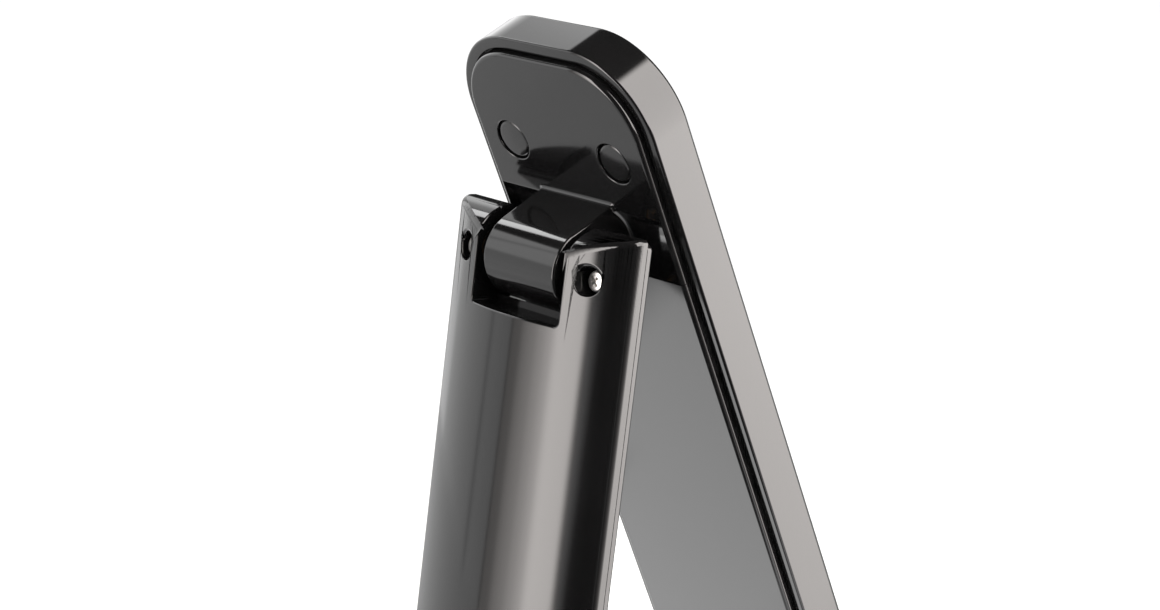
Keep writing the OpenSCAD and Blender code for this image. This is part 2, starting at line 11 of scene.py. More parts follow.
import bmesh
import bpy
from mathutils import Matrix, Vector


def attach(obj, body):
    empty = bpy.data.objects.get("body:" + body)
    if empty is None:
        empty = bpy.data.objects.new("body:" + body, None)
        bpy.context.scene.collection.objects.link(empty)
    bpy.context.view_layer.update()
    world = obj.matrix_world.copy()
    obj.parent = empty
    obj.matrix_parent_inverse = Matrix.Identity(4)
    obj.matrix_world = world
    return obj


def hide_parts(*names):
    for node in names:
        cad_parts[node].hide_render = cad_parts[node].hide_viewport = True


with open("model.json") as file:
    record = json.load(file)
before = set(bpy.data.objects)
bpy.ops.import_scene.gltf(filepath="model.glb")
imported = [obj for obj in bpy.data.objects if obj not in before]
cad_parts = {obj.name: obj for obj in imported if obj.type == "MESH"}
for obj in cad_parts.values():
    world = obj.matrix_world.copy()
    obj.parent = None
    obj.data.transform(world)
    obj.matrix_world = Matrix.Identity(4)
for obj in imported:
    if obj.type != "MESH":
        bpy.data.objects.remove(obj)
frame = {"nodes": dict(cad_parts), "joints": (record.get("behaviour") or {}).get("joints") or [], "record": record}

log = logging.getLogger("album_stand")

Point = tuple[float, float]
Outline = list[Point]
EdgeTest = Callable[[Vector], bool]
NormalAt = Callable[[Vector], "Vector | None"]
Colour = tuple[float, float, float]
Knots = tuple[tuple[float, float], ...]
MM = 0.001
ON = 0.02


# ---------------------------------------------------------------- shape making


def link(name: str, data: bpy.types.ID) -> bpy.types.Object:
    """Makes an object from some data and puts it in the scene."""
    made = bpy.data.objects.new(name, data)
    bpy.context.scene.collection.objects.link(made)
    return made


class Axis(Enum):
    """The direction that an outline is drawn out in; the outline's own axes are the other two, in order."""

    X = 0
    Y = 1
    Z = 2

    def point(self, flat: Point, along: float) -> Vector:
        """The point at a place of the outline and a distance along this axis."""
        values = list(flat)
        values.insert(self.value, along)
        return Vector(values)


class Draw:
    """Outlines, in millimetres."""

    @staticmethod
    def arc(centre: Point, radius: float, start: float, end: float, steps: int) -> Outline:
        """Points along an arc.

        Args:
            centre: The arc's centre.
            radius: Its radius.
            start: The angle it starts at, in degrees.
            end: The angle it ends at, in degrees.
            steps: How many straight steps it takes.

        Returns:
            The points, both ends among them.
        """
        turns = [math.radians(start + (end - start) * i / steps) for i in range(steps + 1)]
        return [(centre[0] + radius * math.cos(t), centre[1] + radius * math.sin(t)) for t in turns]

    @staticmethod
    def circle(centre: Point, radius: float, steps: int = 72) -> Outline:
        """A whole circle."""
        return Draw.arc(centre, radius, 0, 360, steps)[:-1]

    @staticmethod
    def rectangle(low: Point, high: Point) -> Outline:
        """A rectangle between two corners."""
        return [low, (high[0], low[1]), high, (low[0], high[1])]

    @staticmethod
    def round_rect(half: float, low: float, high: float, r_low: float, r_high: float,
                   steps: int = 20) -> Outline:
        """A rectangle about the middle with its own radius at its low and its high corners.

        Args:
            half: Half its width.
            low: Its lower edge.
            high: Its upper edge.
            r_low: Radius of the two lower corners; 0 leaves them square.
            r_high: Radius of the two upper corners; 0 leaves them square.
            steps: How many steps each round corner takes.

        Returns:
            The outline, anticlockwise from the lower right.
        """
        points: Outline = []
        corners = ((1, -1, r_low, -90), (1, 1, r_high, 0), (-1, 1, r_high, 90), (-1, -1, r_low, 180))
        for side, end, radius, start in corners:
            edge = low if end < 0 else high
            centre = (side * (half - radius), edge - end * radius)
            if radius > 0:
                points += Draw.arc(centre, radius, start, start + 90, steps)
            else:
                points.append(centre)
        return points


class Solid:
    """A closed mesh in millimetres that is cut, joined and rounded step by step."""

    def __init__(self, mesh: bpy.types.Mesh) -> None:
        """Keeps the mesh on a working object."""
        self.work = link("work", mesh)

    @classmethod
    def from_bmesh(cls, shape: bmesh.types.BMesh) -> "Solid":
        """A solid from a closed bmesh, with its faces turned outwards."""
        bmesh.ops.recalc_face_normals(shape, faces=shape.faces)
        mesh = bpy.data.meshes.new("work")
        shape.to_mesh(mesh)
        shape.free()
        return cls(mesh)

    @classmethod
    def between_ends(cls, ends: Sequence[Sequence[Vector]]) -> "Solid":
        """A solid between two closed ends that have equally many points."""
        shape = bmesh.new()
        rings = [[shape.verts.new(p) for p in end] for end in ends]
        shape.faces.new(rings[0])
        shape.faces.new(rings[1])
        count = len(rings[0])
        for i in range(count):
            j = (i + 1) % count
            shape.faces.new((rings[0][i], rings[0][j], rings[1][j], rings[1][i]))
        return cls.from_bmesh(shape)

    @classmethod
    def prism(cls, outline: Outline, axis: Axis, low: float, high: float) -> "Solid":
        """An outline drawn out along an axis, from a low to a high place on it."""
        return cls.between_ends([[axis.point(p, at) for p in outline] for at in (low, high)])

    @classmethod
    def block(cls, low: Sequence[float], high: Sequence[float]) -> "Solid":
        """A box between two corners."""
        return cls.prism(Draw.rectangle((low[0], low[1]), (high[0], high[1])), Axis.Z, low[2], high[2])

    @classmethod
    def rod(cls, axis: Axis, centre: Point, radius: float, low: float, high: float,
            steps: int = 72) -> "Solid":
        """A round rod along an axis; its centre is given in the other two."""
        return cls.prism(Draw.circle(centre, radius, steps), axis, low, high)

    @classmethod
    def turned(cls, profile: Sequence[Point], centre: Point, steps: int = 64) -> "Solid":
        """A shape turned about a line along Y.

        Args:
            profile: (radius, y) points from one end of the line to the other; both end on the line.
            centre: Where the line lies, in x and z.
            steps: How many steps the turn takes.

        Returns:
            The solid.
        """
        shape = bmesh.new()
        rings = []
        for radius, y in profile:
            flat = Draw.circle(centre, radius, steps) if radius > 0 else [centre]
            rings.append([shape.verts.new((x, y, z)) for x, z in flat])
        for one, two in zip(rings, rings[1:]):
            for i in range(steps):
                j = (i + 1) % steps
                corners = [one[i % len(one)], one[j % len(one)], two[j % len(two)], two[i % len(two)]]
                shape.faces.new(list(dict.fromkeys(corners)))
        return cls.from_bmesh(shape)

    @classmethod
    def sweep(cls, rings: Sequence[Sequence[Vector]], materials: Sequence[int]) -> "Solid":
        """A closed band between rings of points, the last joined to the first.

        Args:
            rings: Rings of equally many points.
            materials: The material index of the faces between each ring and the next.

        Returns:
            The solid.
        """
        shape = bmesh.new()
        made = [[shape.verts.new(p) for p in ring] for ring in rings]
        count = len(made[0])
        for k, ring in enumerate(made):
            following = made[(k + 1) % len(made)]
            for i in range(count):
                j = (i + 1) % count
                face = shape.faces.new((ring[i], ring[j], following[j], following[i]))
                face.material_index = materials[k]
        return cls.from_bmesh(shape)

    def _combine(self, other: "Solid", operation: str) -> "Solid":
        """Applies a boolean with another solid, which is used up."""
        modifier = self.work.modifiers.new("combine", "BOOLEAN")
        modifier.operation = operation
        modifier.solver = "EXACT"
        modifier.object = other.work
        bpy.context.view_layer.update()
        graph = bpy.context.evaluated_depsgraph_get()
        mesh = bpy.data.meshes.new_from_object(self.work.evaluated_get(graph))
        self.work.modifiers.clear()
        old = self.work.data
        self.work.data = mesh
        bpy.data.meshes.remove(old)
        other.discard()
        return self

    def join(self, *others: "Solid") -> "Solid":
        """Adds other solids to this one."""
        for other in others:
            self._combine(other, "UNION")
        return self

    def cut(self, *others: "Solid") -> "Solid":
        """Takes other solids away from this one."""
        for other in others:
            self._combine(other, "DIFFERENCE")
        return self

    def keep(self, other: "Solid") -> "Solid":
        """Keeps only what lies inside another solid."""
        return self._combine(other, "INTERSECT")

    def discard(self) -> None:
        """Removes the working object and its mesh."""
        mesh = self.work.data
        bpy.data.objects.remove(self.work)
        bpy.data.meshes.remove(mesh)

    @contextmanager
    def _edit(self) -> Iterator[bmesh.types.BMesh]:
        """Opens the mesh for changes and writes it back."""
        shape = bmesh.new()
        shape.from_mesh(self.work.data)
        yield shape
        shape.to_mesh(self.work.data)
        shape.free()

    def slice(self, heights: Iterable[float]) -> "Solid":
        """Adds edges round the solid at some heights, so that its long faces are shorter."""
        with self._edit() as shape:
            for height in heights:
                every = [*shape.verts, *shape.edges, *shape.faces]
                bmesh.ops.bisect_plane(shape, geom=every, dist=0.0001, plane_co=(0, 0, height),
                                       plane_no=(0, 0, 1))
        return self

    def tidy(self, weld: float = 0.0015, flat: float = 0.4) -> "Solid":
        """Welds doubled points and dissolves edges between faces that lie in one plane."""
        with self._edit() as shape:
            bmesh.ops.remove_doubles(shape, verts=shape.verts, dist=weld)
            bmesh.ops.dissolve_limit(shape, angle_limit=math.radians(flat), verts=shape.verts,
                                     edges=shape.edges, delimit={"MATERIAL"})
        return self

    def round(self, radius: float, chosen: EdgeTest, segments: int = 3, least: float = 16.0) -> "Solid":
        """Rounds the sharp edges whose middle passes a test.

        Args:
            radius: How wide the rounding is.
            chosen: Says, from an edge's middle, whether it is rounded.
            segments: How many faces the rounding takes.
            least: The smallest angle between the two faces of a sharp edge, in degrees.

        Returns:
            This solid.
        """
        sharp = math.radians(least)
        with self._edit() as shape:
            edges = [e for e in shape.edges if len(e.link_faces) == 2 and e.calc_face_angle(0) > sharp
                     and chosen((e.verts[0].co + e.verts[1].co) / 2)]
            bmesh.ops.bevel(shape, geom=edges, offset=radius, offset_type="OFFSET", segments=segments,
                            profile=0.5, affect="EDGES", clamp_overlap=False, material=-1, loop_slide=True)
            bmesh.ops.remove_doubles(shape, verts=shape.verts, dist=0.002)
        return self


@dataclass(frozen=True)
class Lean:
    """A leaning frame about the hinge axis: millimetres here, metres in the scene."""

    origin: Vector
    angle: float

    def matrix(self) -> Matrix:
        """The matrix from this frame's millimetres to the scene's metres."""
        return Matrix.Translation(self.origin) @ Matrix.Rotation(self.angle, 4, "X") @ Matrix.Scale(MM, 4)

    def box(self, node: str) -> tuple[Vector, Vector]:
        """The lowest and highest corner of a CAD node in this frame, in millimetres."""
        back = self.matrix().inverted()
        points = [back @ v.co for v in frame["nodes"][node].data.vertices]
        low = Vector([min(p[i] for p in points) for i in range(3)])
        high = Vector([max(p[i] for p in points) for i in range(3)])
        return low, high

    def right_disc(self, node: str) -> tuple[float, float, float]:
        """The x and z of the right-hand round piece of a pair across the middle, and its radius."""
        low, high = self.box(node)
        radius = (high.z - low.z) / 2
        return high.x - radius, (low.z + high.z) / 2, radius


@dataclass(frozen=True)
class Frames:
    """The panel's frame, the leg's frame and the ledge's frame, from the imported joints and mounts."""

    panel: Lean
    leg: Lean
    ledge: Lean

    @classmethod
    def from_record(cls) -> "Frames":
        """Reads the hinge axes, the panel's lean and the leg's lean from the frame."""
        joints = {joint["name"]: joint for joint in frame["joints"]}
        mounts = {mount["name"]: mount for mount in frame["record"]["mounts"]}
        face = mounts["album_back_rest"]["axis"]
        panel_lean = math.atan2(face[2], -face[1])
        leg_lean = math.radians(-min(joints["leg_hinge"]["range_deg"])) - panel_lean
        hinge = Vector(joints["leg_hinge"]["pos_m"])
        pin = Vector(joints["ledge_fold"]["pos_m"])
        return cls(Lean(hinge, -panel_lean), Lean(hinge, leg_lean), Lean(pin, -panel_lean))


def shade(mesh: bpy.types.Mesh, sharp: float, true_normal: NormalAt | None) -> None:
    """Sets the mesh's corner normals, so that broad faces stay true beside their small roundings.

    Args:
        mesh: The mesh, in its own frame's millimetres.
        sharp: Faces that meet at more than this angle, in degrees, don't share a normal.
        true_normal: Gives the exact normal of a curved face at a point, where there is one.
    """
    limit, close, thin = math.cos(math.radians(sharp)), math.cos(math.radians(2.5)), 0.02
    around: list[list[int]] = [[] for _ in mesh.vertices]
    faces = [(p.normal.copy(), p.area) for p in mesh.polygons]
    points = [v.co for v in mesh.vertices]
    for p in mesh.polygons:
        for v in p.vertices:
            around[v].append(p.index)
    normals = [Vector((0, 0, 1))] * len(mesh.loops)
    for p in mesh.polygons:
        own = faces[p.index][0]
        rim = sum((points[a] - points[b]).length for a, b in p.edge_keys)
        if p.area < rim * thin:
            beside = [faces[i] for v in p.vertices for i in around[v]]
            own = max(beside, key=lambda face: face[1])[0]
        for loop in p.loop_indices:
            v = mesh.loops[loop].vertex_index
            near = [faces[i] for i in around[v] if faces[i][0].dot(own) > limit]
            exact = true_normal(mesh.vertices[v].co) if true_normal else None
            if exact and any(n.dot(exact) > close and area > 1 for n, area in near):
                normals[loop] = exact
            else:
                total = sum((n * area for n, area in near), Vector((0, 0, 0)))
                normals[loop] = total.normalized() if total.length > 0 else own
    mesh.polygons.foreach_set("use_smooth", [True] * len(mesh.polygons))
    mesh.normals_split_custom_set(normals)


# ---------------------------------------------------------------- finishes


class Tree:
    """A node tree that is filled step by step."""

    def __init__(self, tree: bpy.types.NodeTree) -> None:
        """Keeps the tree."""
        self.tree = tree

    @classmethod
    def of(cls, owner: bpy.types.Material | bpy.types.World) -> "Tree":
        """The emptied node tree of a material or a world."""
        owner.use_nodes = True
        owner.node_tree.nodes.clear()
        return cls(owner.node_tree)

    def add(self, kind: str, inputs: dict[str, object] | None = None, **settings: object) -> bpy.types.Node:
        """Adds a node.

        Args:
            kind: The node's type.
            inputs: For each input, the value it is set to or the output that feeds it.
            settings: The node's own settings.

        Returns:
            The node.
        """
        node = self.tree.nodes.new(kind)
        for name, value in settings.items():
            setattr(node, name, value)
        for name, value in (inputs or {}).items():
            socket = node.inputs[int(name)] if name.isdigit() else node.inputs[name]
            if isinstance(value, bpy.types.NodeSocket):
                self.tree.links.new(value, socket)
            else:
                socket.default_value = value
        return node

    def math(self, operation: str, one: object, two: object = 0.0,
             three: object = 0.0) -> bpy.types.NodeSocket:
        """A math node's output."""
        return self.add("ShaderNodeMath", {"0": one, "1": two, "2": three}, operation=operation).outputs[0]

    def noise(self, place: bpy.types.NodeSocket, scale: object, detail: float = 3.0) -> bpy.types.NodeSocket:
        """A noise texture's value."""
        given = {"Vector": place, "Scale": scale, "Detail": detail, "Roughness": 0.55}
        return self.add("ShaderNodeTexNoise", given).outputs["Fac"]

    def spread(self, value: object, low: float, high: float, to_low: object,
               to_high: object) -> bpy.types.NodeSocket:
        """A value brought smoothly from one range to another."""
        given = {"Value": value, "From Min": low, "From Max": high, "To Min": to_low, "To Max": to_high}
        return self.add("ShaderNodeMapRange", given, interpolation_type="SMOOTHSTEP").outputs["Result"]

    def mix(self, share: object, one: object, two: object) -> bpy.types.NodeSocket:
        """Two colours mixed."""
        return self.add("ShaderNodeMix", {"0": share, "6": one, "7": two}, data_type="RGBA").outputs[2]


class Effect(Enum):
    """The shader node groups that the finishes share."""

    GRAIN = "moulded_grain"
    WEAR = "handled_edges"
    DUST = "settled_dust"


@dataclass(frozen=True)
class Effects:
    """Builds each shared node group once."""

    sockets = {
        Effect.GRAIN: ((("Broad", 90.0), ("Fine", 2600.0), ("Roughness", 0.1), ("Spread", 0.03)),
                       ("Roughness", "Height")),
        Effect.WEAR: ((("Color", None), ("Worn", None), ("Amount", 0.2)), ("Color", "Mask")),
        Effect.DUST: ((("Color", None), ("Dust", None), ("Amount", 0.05)), ("Color", "Mask")),
    }

    def group(self, effect: Effect) -> bpy.types.NodeTree:
        """The node group of an effect, built when it is first asked for."""
        made = bpy.data.node_groups.get(effect.value)
        if made:
            return made
        made = bpy.data.node_groups.new(effect.value, "ShaderNodeTree")
        inputs, outputs = self.sockets[effect]
        for name, value in inputs:
            kind = "NodeSocketColor" if value is None else "NodeSocketFloat"
            socket = made.interface.new_socket(name, in_out="INPUT", socket_type=kind)
            if value is not None:
                socket.default_value = value
        for name in outputs:
            kind = "NodeSocketColor" if name == "Color" else "NodeSocketFloat"
            made.interface.new_socket(name, in_out="OUTPUT", socket_type=kind)
        tree = Tree(made)
        given = tree.add("NodeGroupInput").outputs
        builders = {Effect.GRAIN: self._grain, Effect.WEAR: self._wear, Effect.DUST: self._dust}
        results = builders[effect](tree, given)
        tree.add("NodeGroupOutput", dict(zip(outputs, results)))
        return made

    @staticmethod
    def _grain(tree: Tree, given: bpy.types.NodeOutputs) -> tuple[bpy.types.NodeSocket, ...]:
        """Roughness that wanders over the surface, and the height of its fine grain."""
        place = tree.add("ShaderNodeTexCoord").outputs["Object"]
        broad = tree.noise(place, given["Broad"])
        fine = tree.noise(place, given["Fine"], 5.0)
        swing = tree.math("MULTIPLY", tree.math("SUBTRACT", broad, 0.5), given["Spread"])
        rough = tree.math("MULTIPLY_ADD", fine, tree.math("MULTIPLY", given["Spread"], 0.3),
                          tree.math("ADD", given["Roughness"], swing))
        return rough, tree.math("MULTIPLY_ADD", fine, 0.25, broad)

    @staticmethod
    def _wear(tree: Tree, given: bpy.types.NodeOutputs) -> tuple[bpy.types.NodeSocket, ...]:
        """A paler tone along edges that are handled."""
        place = tree.add("ShaderNodeTexCoord").outputs["Object"]
        corner = tree.add("ShaderNodeNewGeometry").outputs["Pointiness"]
        edge = tree.spread(corner, 0.53, 0.62, 0.0, 1.0)
        patch = tree.spread(tree.noise(place, 240.0), 0.42, 0.66, 0.15, 1.0)
        mask = tree.math("MULTIPLY", tree.math("MULTIPLY", edge, patch), given["Amount"])
        return tree.mix(mask, given["Color"], given["Worn"]), mask

    @staticmethod
    def _dust(tree: Tree, given: bpy.types.NodeOutputs) -> tuple[bpy.types.NodeSocket, ...]:
        """A trace of dust on what faces up."""
        place = tree.add("ShaderNodeTexCoord").outputs["Object"]
        normal = tree.add("ShaderNodeNewGeometry").outputs["Normal"]
        up = tree.add("ShaderNodeSeparateXYZ", {"0": normal}).outputs["Z"]
        facing = tree.spread(up, 0.2, 1.0, 0.1, 1.0)
        speck = tree.spread(tree.noise(place, 5200.0, 2.0), 0.62, 0.74, 0.0, 1.0)
        cloud = tree.noise(place, 60.0)
        mask = tree.math("MULTIPLY", tree.math("MULTIPLY_ADD", speck, 0.5, cloud),
                         tree.math("MULTIPLY", facing, given["Amount"]))
        return tree.mix(mask, given["Color"], given["Dust"]), mask


@dataclass(frozen=True)
class Finish:
    """One surface finish, as a Principled material with grain, worn edges and dust, and with its specular dimmed
    where it is seen in a reflection, as painted shade.
    """

    name: str
    colour: Colour
    roughness: float
    spread: float = 0.02
    worn: Colour = (0.05, 0.05, 0.052)
    wear: float = 0.15
    dust: float = 0.015
    metallic: float = 0.0
    broad: float = 90.0
    fine: float = 2600.0
    relief: float = 0.00001
    strength: float = 0.05
    brushed: float = 0.0
    # How much the specular is dimmed where the surface is seen in a reflection: painted shade that darkens the
    # part in other gloss parts' reflections.
    reflection_dimming: float = 0.0

    def build(self) -> bpy.types.Material:
        """Makes the material, or finds it if it is already made."""
        made = bpy.data.materials.get(self.name)
        if made:
            return made
        made = bpy.data.materials.new(self.name)
        tree = Tree.of(made)
        effects = Effects()
        grain = tree.add("ShaderNodeGroup", {"Broad": self.broad, "Fine": self.fine,
                                             "Roughness": self.roughness, "Spread": self.spread},
                         node_tree=effects.group(Effect.GRAIN))
        place = tree.add("ShaderNodeTexCoord").outputs["Object"]
        tone = tree.spread(tree.noise(place, self.broad * 0.6), 0.3, 0.7, 0.86, 1.14)
        base = tree.add("ShaderNodeMix", {"0": 1.0, "6": (*self.colour, 1.0), "7": tone}, data_type="RGBA",
                        blend_type="MULTIPLY").outputs[2]
        wear = tree.add("ShaderNodeGroup", {"Color": base, "Worn": (*self.worn, 1.0), "Amount": self.wear},
                        node_tree=effects.group(Effect.WEAR))
        dust = tree.add("ShaderNodeGroup", {"Color": wear.outputs["Color"], "Dust": (0.55, 0.53, 0.5, 1.0),
                                            "Amount": self.dust}, node_tree=effects.group(Effect.DUST))
        height = grain.outputs["Height"]
        if self.brushed > 0:
            stretch = tree.add("ShaderNodeMapping", {"Vector": place, "Scale": (self.brushed, 1.0, 1.0)})
            height = tree.math("ADD", height, tree.noise(stretch.outputs[0], 60.0, 6.0))
        bump = tree.add("ShaderNodeBump", {"Height": height, "Distance": self.relief,
                                           "Strength": self.strength})
        # Painted shade in reflections: on glossy rays the specular level falls by the dimming, so the part looks
        # darker where another surface reflects it.
        glossy = tree.add("ShaderNodeLightPath").outputs["Is Glossy Ray"]
        shader = tree.add("ShaderNodeBsdfPrincipled", {
            "Specular IOR Level": tree.spread(glossy, 0.0, 1.0, 0.5, 0.5 - 0.5 * self.reflection_dimming),
            "Base Color": dust.outputs["Color"], "Roughness": grain.outputs["Roughness"],
            "Normal": bump.outputs["Normal"], "Metallic": self.metallic, "IOR": 1.5})
        tree.add("ShaderNodeOutputMaterial", {"Surface": shader.outputs["BSDF"]})
        return made


@dataclass(frozen=True)
class Finishes:
    """Every finish on the stand."""

    # The gloss finishes and the plugs take 0.85 of that dimming: painted shade that darkens them in each other's
    # reflections.
    gloss: Finish = Finish("gloss_black", (0.003, 0.003, 0.0031), 0.085, dust=0.003, reflection_dimming=0.85)
    leg: Finish = Finish("leg_gloss_black", (0.003, 0.003, 0.0031), 0.095, dust=0.003, reflection_dimming=0.85)
    lip: Finish = Finish("satin_lip", (0.016, 0.016, 0.0165), 0.42, spread=0.05, strength=0.15)
    front: Finish = Finish("front_black", (0.006, 0.006, 0.0062), 0.16, strength=0.08)
    plug: Finish = Finish("plug_black", (0.0035, 0.0035, 0.0036), 0.11, dust=0.003, reflection_dimming=0.85)
    pad: Finish = Finish("pad_rubber", (0.017, 0.017, 0.0175), 0.72, spread=0.1, fine=1900.0,
                         relief=0.00004, strength=0.5, dust=0.06)
    foot: Finish = Finish("foot_rubber", (0.012, 0.012, 0.012), 0.78, spread=0.1, fine=1500.0,
                          relief=0.00004, strength=0.5, dust=0.08)
    zinc: Finish = Finish("zinc_plate", (0.55, 0.55, 0.56), 0.28, spread=0.08, worn=(0.75, 0.75, 0.76),
                          metallic=1.0, strength=0.2, dust=0.0)
    bright: Finish = Finish("bright_nickel", (0.8, 0.79, 0.77), 0.3, spread=0.06, worn=(0.9, 0.9, 0.9),
                            metallic=1.0, strength=0.12, dust=0.0)
    steel: Finish = Finish("stamped_steel", (0.42, 0.43, 0.44), 0.34, spread=0.1, worn=(0.65, 0.65, 0.66),
                           metallic=1.0, strength=0.25, brushed=14.0, dust=0.0)
    shaft: Finish = Finish("ground_steel", (0.56, 0.56, 0.57), 0.2, spread=0.05, worn=(0.75, 0.75, 0.75),
                           metallic=1.0, strength=0.15, brushed=20.0, dust=0.0)
    bronze: Finish = Finish("bearing_bronze", (0.48, 0.29, 0.12), 0.32, spread=0.1, worn=(0.7, 0.48, 0.25),
                            metallic=1.0, strength=0.2, dust=0.0)


# ---------------------------------------------------------------- assemblies


@dataclass
class Assembly:
    """Pieces on one body that are drawn in one leaning frame."""

    lean: Lean
    looks: Finishes
    body: ClassVar[str] = ""

    def piece(self, name: str, solid: Solid, slot: str, node: str, *finishes: Finish, sharp: float = 42.0,
              true_normal: NormalAt | None = None) -> bpy.types.Object:
        """Turns a solid into a finished piece of the stand.

        Args:
            name: The piece's name.
            solid: Its shape, which is used up.
            slot: The record's material slot; not used.
            node: The CAD node it stands for.
            finishes: Its finishes, in the order of its faces' indices.
            sharp: Edges over this angle, in degrees, stay sharp in the shading.
            true_normal: Gives the exact normal of a curved face at a point, where there is one.

        Returns:
            The piece.
        """
        mesh = solid.work.data.copy()
        solid.discard()
        mesh.name = name
        mesh.materials.clear()
        for finish in finishes:
            mesh.materials.append(finish.build())
        shade(mesh, sharp, true_normal)
        mesh.transform(self.lean.matrix())
        made = link(name, mesh)
        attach(made, self.body)
        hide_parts(node)
        log.info("%s: %d faces on %s", name, len(mesh.polygons), self.body)
        return made


# ---------------------------------------------------------------- the front panel


@dataclass
class FrontPanel(Assembly):
    """The outer frame, the covers with the barrel, the plugs and the front plate, in the panel's frame."""

    body: ClassVar[str] = "front_panel"
    plug_rim: float = 0.28
    seam_edge: float = 0.2
    arm_edge: float = 0.55
    trough_edge: float = 0.3
    top_r: float = 17.6
    bottom_r: float = 8.0
    wall: float = 2.5
    shelf: float = 1.2
    rabbet: float = 1.3
    plate_t: float = 2.2
    seam: float = 0.12
    skirt_h: float = 2.0
    cover_t: float = 2.0
    trough_side: float = 0.9
    arm_half: float = 10.5
    arm_low: float = -6.0
    bore_r: float = 4.7
    plug_gap: float = 0.1
    cover_edge: float = 0.9
    root: float = 0.9
    half: float = field(init=False)
    low: float = field(init=False)
    high: float = field(init=False)
    y_front: float = field(init=False)
    y_lip: float = field(init=False)
    y_cover: float = field(init=False)
    cover_half: float = field(init=False)
    cover_low: float = field(init=False)
    cover_high: float = field(init=False)
    trough_half: float = field(init=False)
    barrel_r: float = field(init=False)

    def __post_init__(self) -> None:
        """Reads the sizes that the CAD nodes give."""
        low, high = self.lean.box("outer_frame")
        self.half, self.low, self.high = high.x, low.z, high.z
        self.y_front, self.y_lip = low.y, high.y
        cover_low, cover_high = self.lean.box("rear_cover")
        self.cover_half, self.cover_low, self.y_cover = cover_high.x, cover_low.z, cover_high.y
        self.trough_half = -cover_high.z - self.seam
        hinge_high = self.lean.box("hinge_cover")[1]
        self.barrel_r, self.cover_high = hinge_high.y, hinge_high.z

    @property
    def y_shelf(self) -> float:
        """Where the covers' skirts end, on the frame's shelf."""
        return self.y_cover - self.cover_t - self.skirt_h

    def ring(self, inset: float, y: float) -> list[Vector]:
        """The panel's outline drawn in by an inset, at a depth."""
        outline = Draw.round_rect(self.half - inset, self.low + inset, self.high - inset,
                                  self.bottom_r - inset, self.top_r - inset, 28)
        return [Axis.Y.point(p, y) for p in outline]

    def outer_frame(self) -> bpy.types.Object:
        """The deep band round the panel, with its satin rear lip and rounded edges."""
        rear, inner, front, chamfer = 0.55, 0.25, 1.0, 0.15
        lip, inside, y_plate = (rear, self.y_lip), self.wall + self.shelf, self.y_front + self.plate_t
        profile = [*Draw.arc((rear, self.y_lip - rear), rear, 180, 108, 4), lip,
                   *Draw.arc((self.wall - inner, self.y_lip - inner), inner, 90, 0, 3),
                   (self.wall, self.y_shelf), (inside, self.y_shelf), (inside, y_plate),
                   (self.rabbet, y_plate), (self.rabbet, self.y_front + chamfer),
                   (self.rabbet - chamfer, self.y_front),
                   *Draw.arc((front, self.y_front + front), front, 270, 180, 6)]
        solid = Solid.sweep([self.ring(*p) for p in profile], [int(p == lip) for p in profile])
        return self.piece("deep_outer_frame", solid, "frame_plastic", "outer_frame",
                          self.looks.gloss, self.looks.lip)

    def plug_holes(self, node: str) -> list[Solid]:
        """The cutters of the holes for a pair of plugs."""
        x, z, radius = self.lean.right_disc(node)
        depth = self.y_cover - self.cover_t - 0.7
        return [Solid.rod(Axis.Y, (side * x, z), radius + self.plug_gap, depth, self.y_cover + 1, 96)
                for side in (-1, 1)]

    def rim_test(self, node: str) -> EdgeTest:
        """Picks the rims of the plug holes at the cover's face."""
        x, z, radius = self.lean.right_disc(node)
        return lambda p: p.y > self.y_cover - ON and math.hypot(abs(p.x) - x, p.z - z) < radius + 0.25

    def cover_blank(self, low: float, high: float, r_low: float, r_high: float) -> Solid:
        """A cover's plate as deep as its skirt, with the square ends left for the seam."""
        outline = Draw.round_rect(self.cover_half, low, high, r_low, r_high, 30)
        return Solid.prism(outline, Axis.Y, self.y_shelf, self.y_cover)

    def hinge_cover(self) -> bpy.types.Object:
        """The upper cover with its trough, its arm and the barrel at the arm's end."""
        inset = self.half - self.cover_half
        blank = self.cover_blank(-self.trough_half, self.cover_high, 0, self.top_r - inset)
        blank.round(self.cover_edge, lambda p: p.y > self.y_cover - ON and p.z > 0.5 - self.trough_half, 5)
        trough_r = math.hypot(self.y_cover, self.trough_half)
        side = self.cover_half - self.trough_side
        blank.cut(Solid.rod(Axis.X, (0, 0), trough_r, -side, side, 300)).tidy()
        blank.round(self.trough_edge, lambda p: p.y > self.y_cover - 0.05 and abs(p.x) < side
                    and abs(p.z - self.trough_half) < 0.05, 3, 10)
        arm = Solid.block((-self.arm_half, self.y_shelf, self.arm_low), (self.arm_half, 0, self.barrel_r))
        arm.join(Solid.rod(Axis.X, (0, 0), self.barrel_r, -self.arm_half, self.arm_half, 128)).tidy(flat=0.2)
        arm.round(self.arm_edge, lambda p: abs(p.x) > self.arm_half - ON and p.y > self.y_shelf + 0.5, 4)
        blank.join(arm).tidy()
        reach = self.arm_half + 0.01

        def at_root(p: Vector) -> bool:
            """Picks the edges where the arm leaves the cover and the trough."""
            on_arm = abs(p.x) < reach and self.arm_low - 0.05 < p.z < self.barrel_r + 0.05
            inside = (abs(p.x) < self.arm_half - 0.6
                      and self.arm_low + 0.6 < p.z < self.barrel_r - 0.6)
            return on_arm and not inside and self.y_shelf + 0.5 < p.y < self.y_cover + 0.02

        blank.round(self.root, at_root, 5, 30)
        blank.cut(*self.plug_holes("upper_screw_plugs")).tidy(flat=0.2)
        blank.round(self.plug_rim, self.rim_test("upper_screw_plugs"), 3)
        blank.cut(Solid.rod(Axis.X, (0, 0), self.bore_r, -self.arm_half - 1, self.arm_half + 1, 96))
        return self.piece("hinge_cover_with_barrel", blank, "cover_plastic", "hinge_cover", self.looks.gloss)

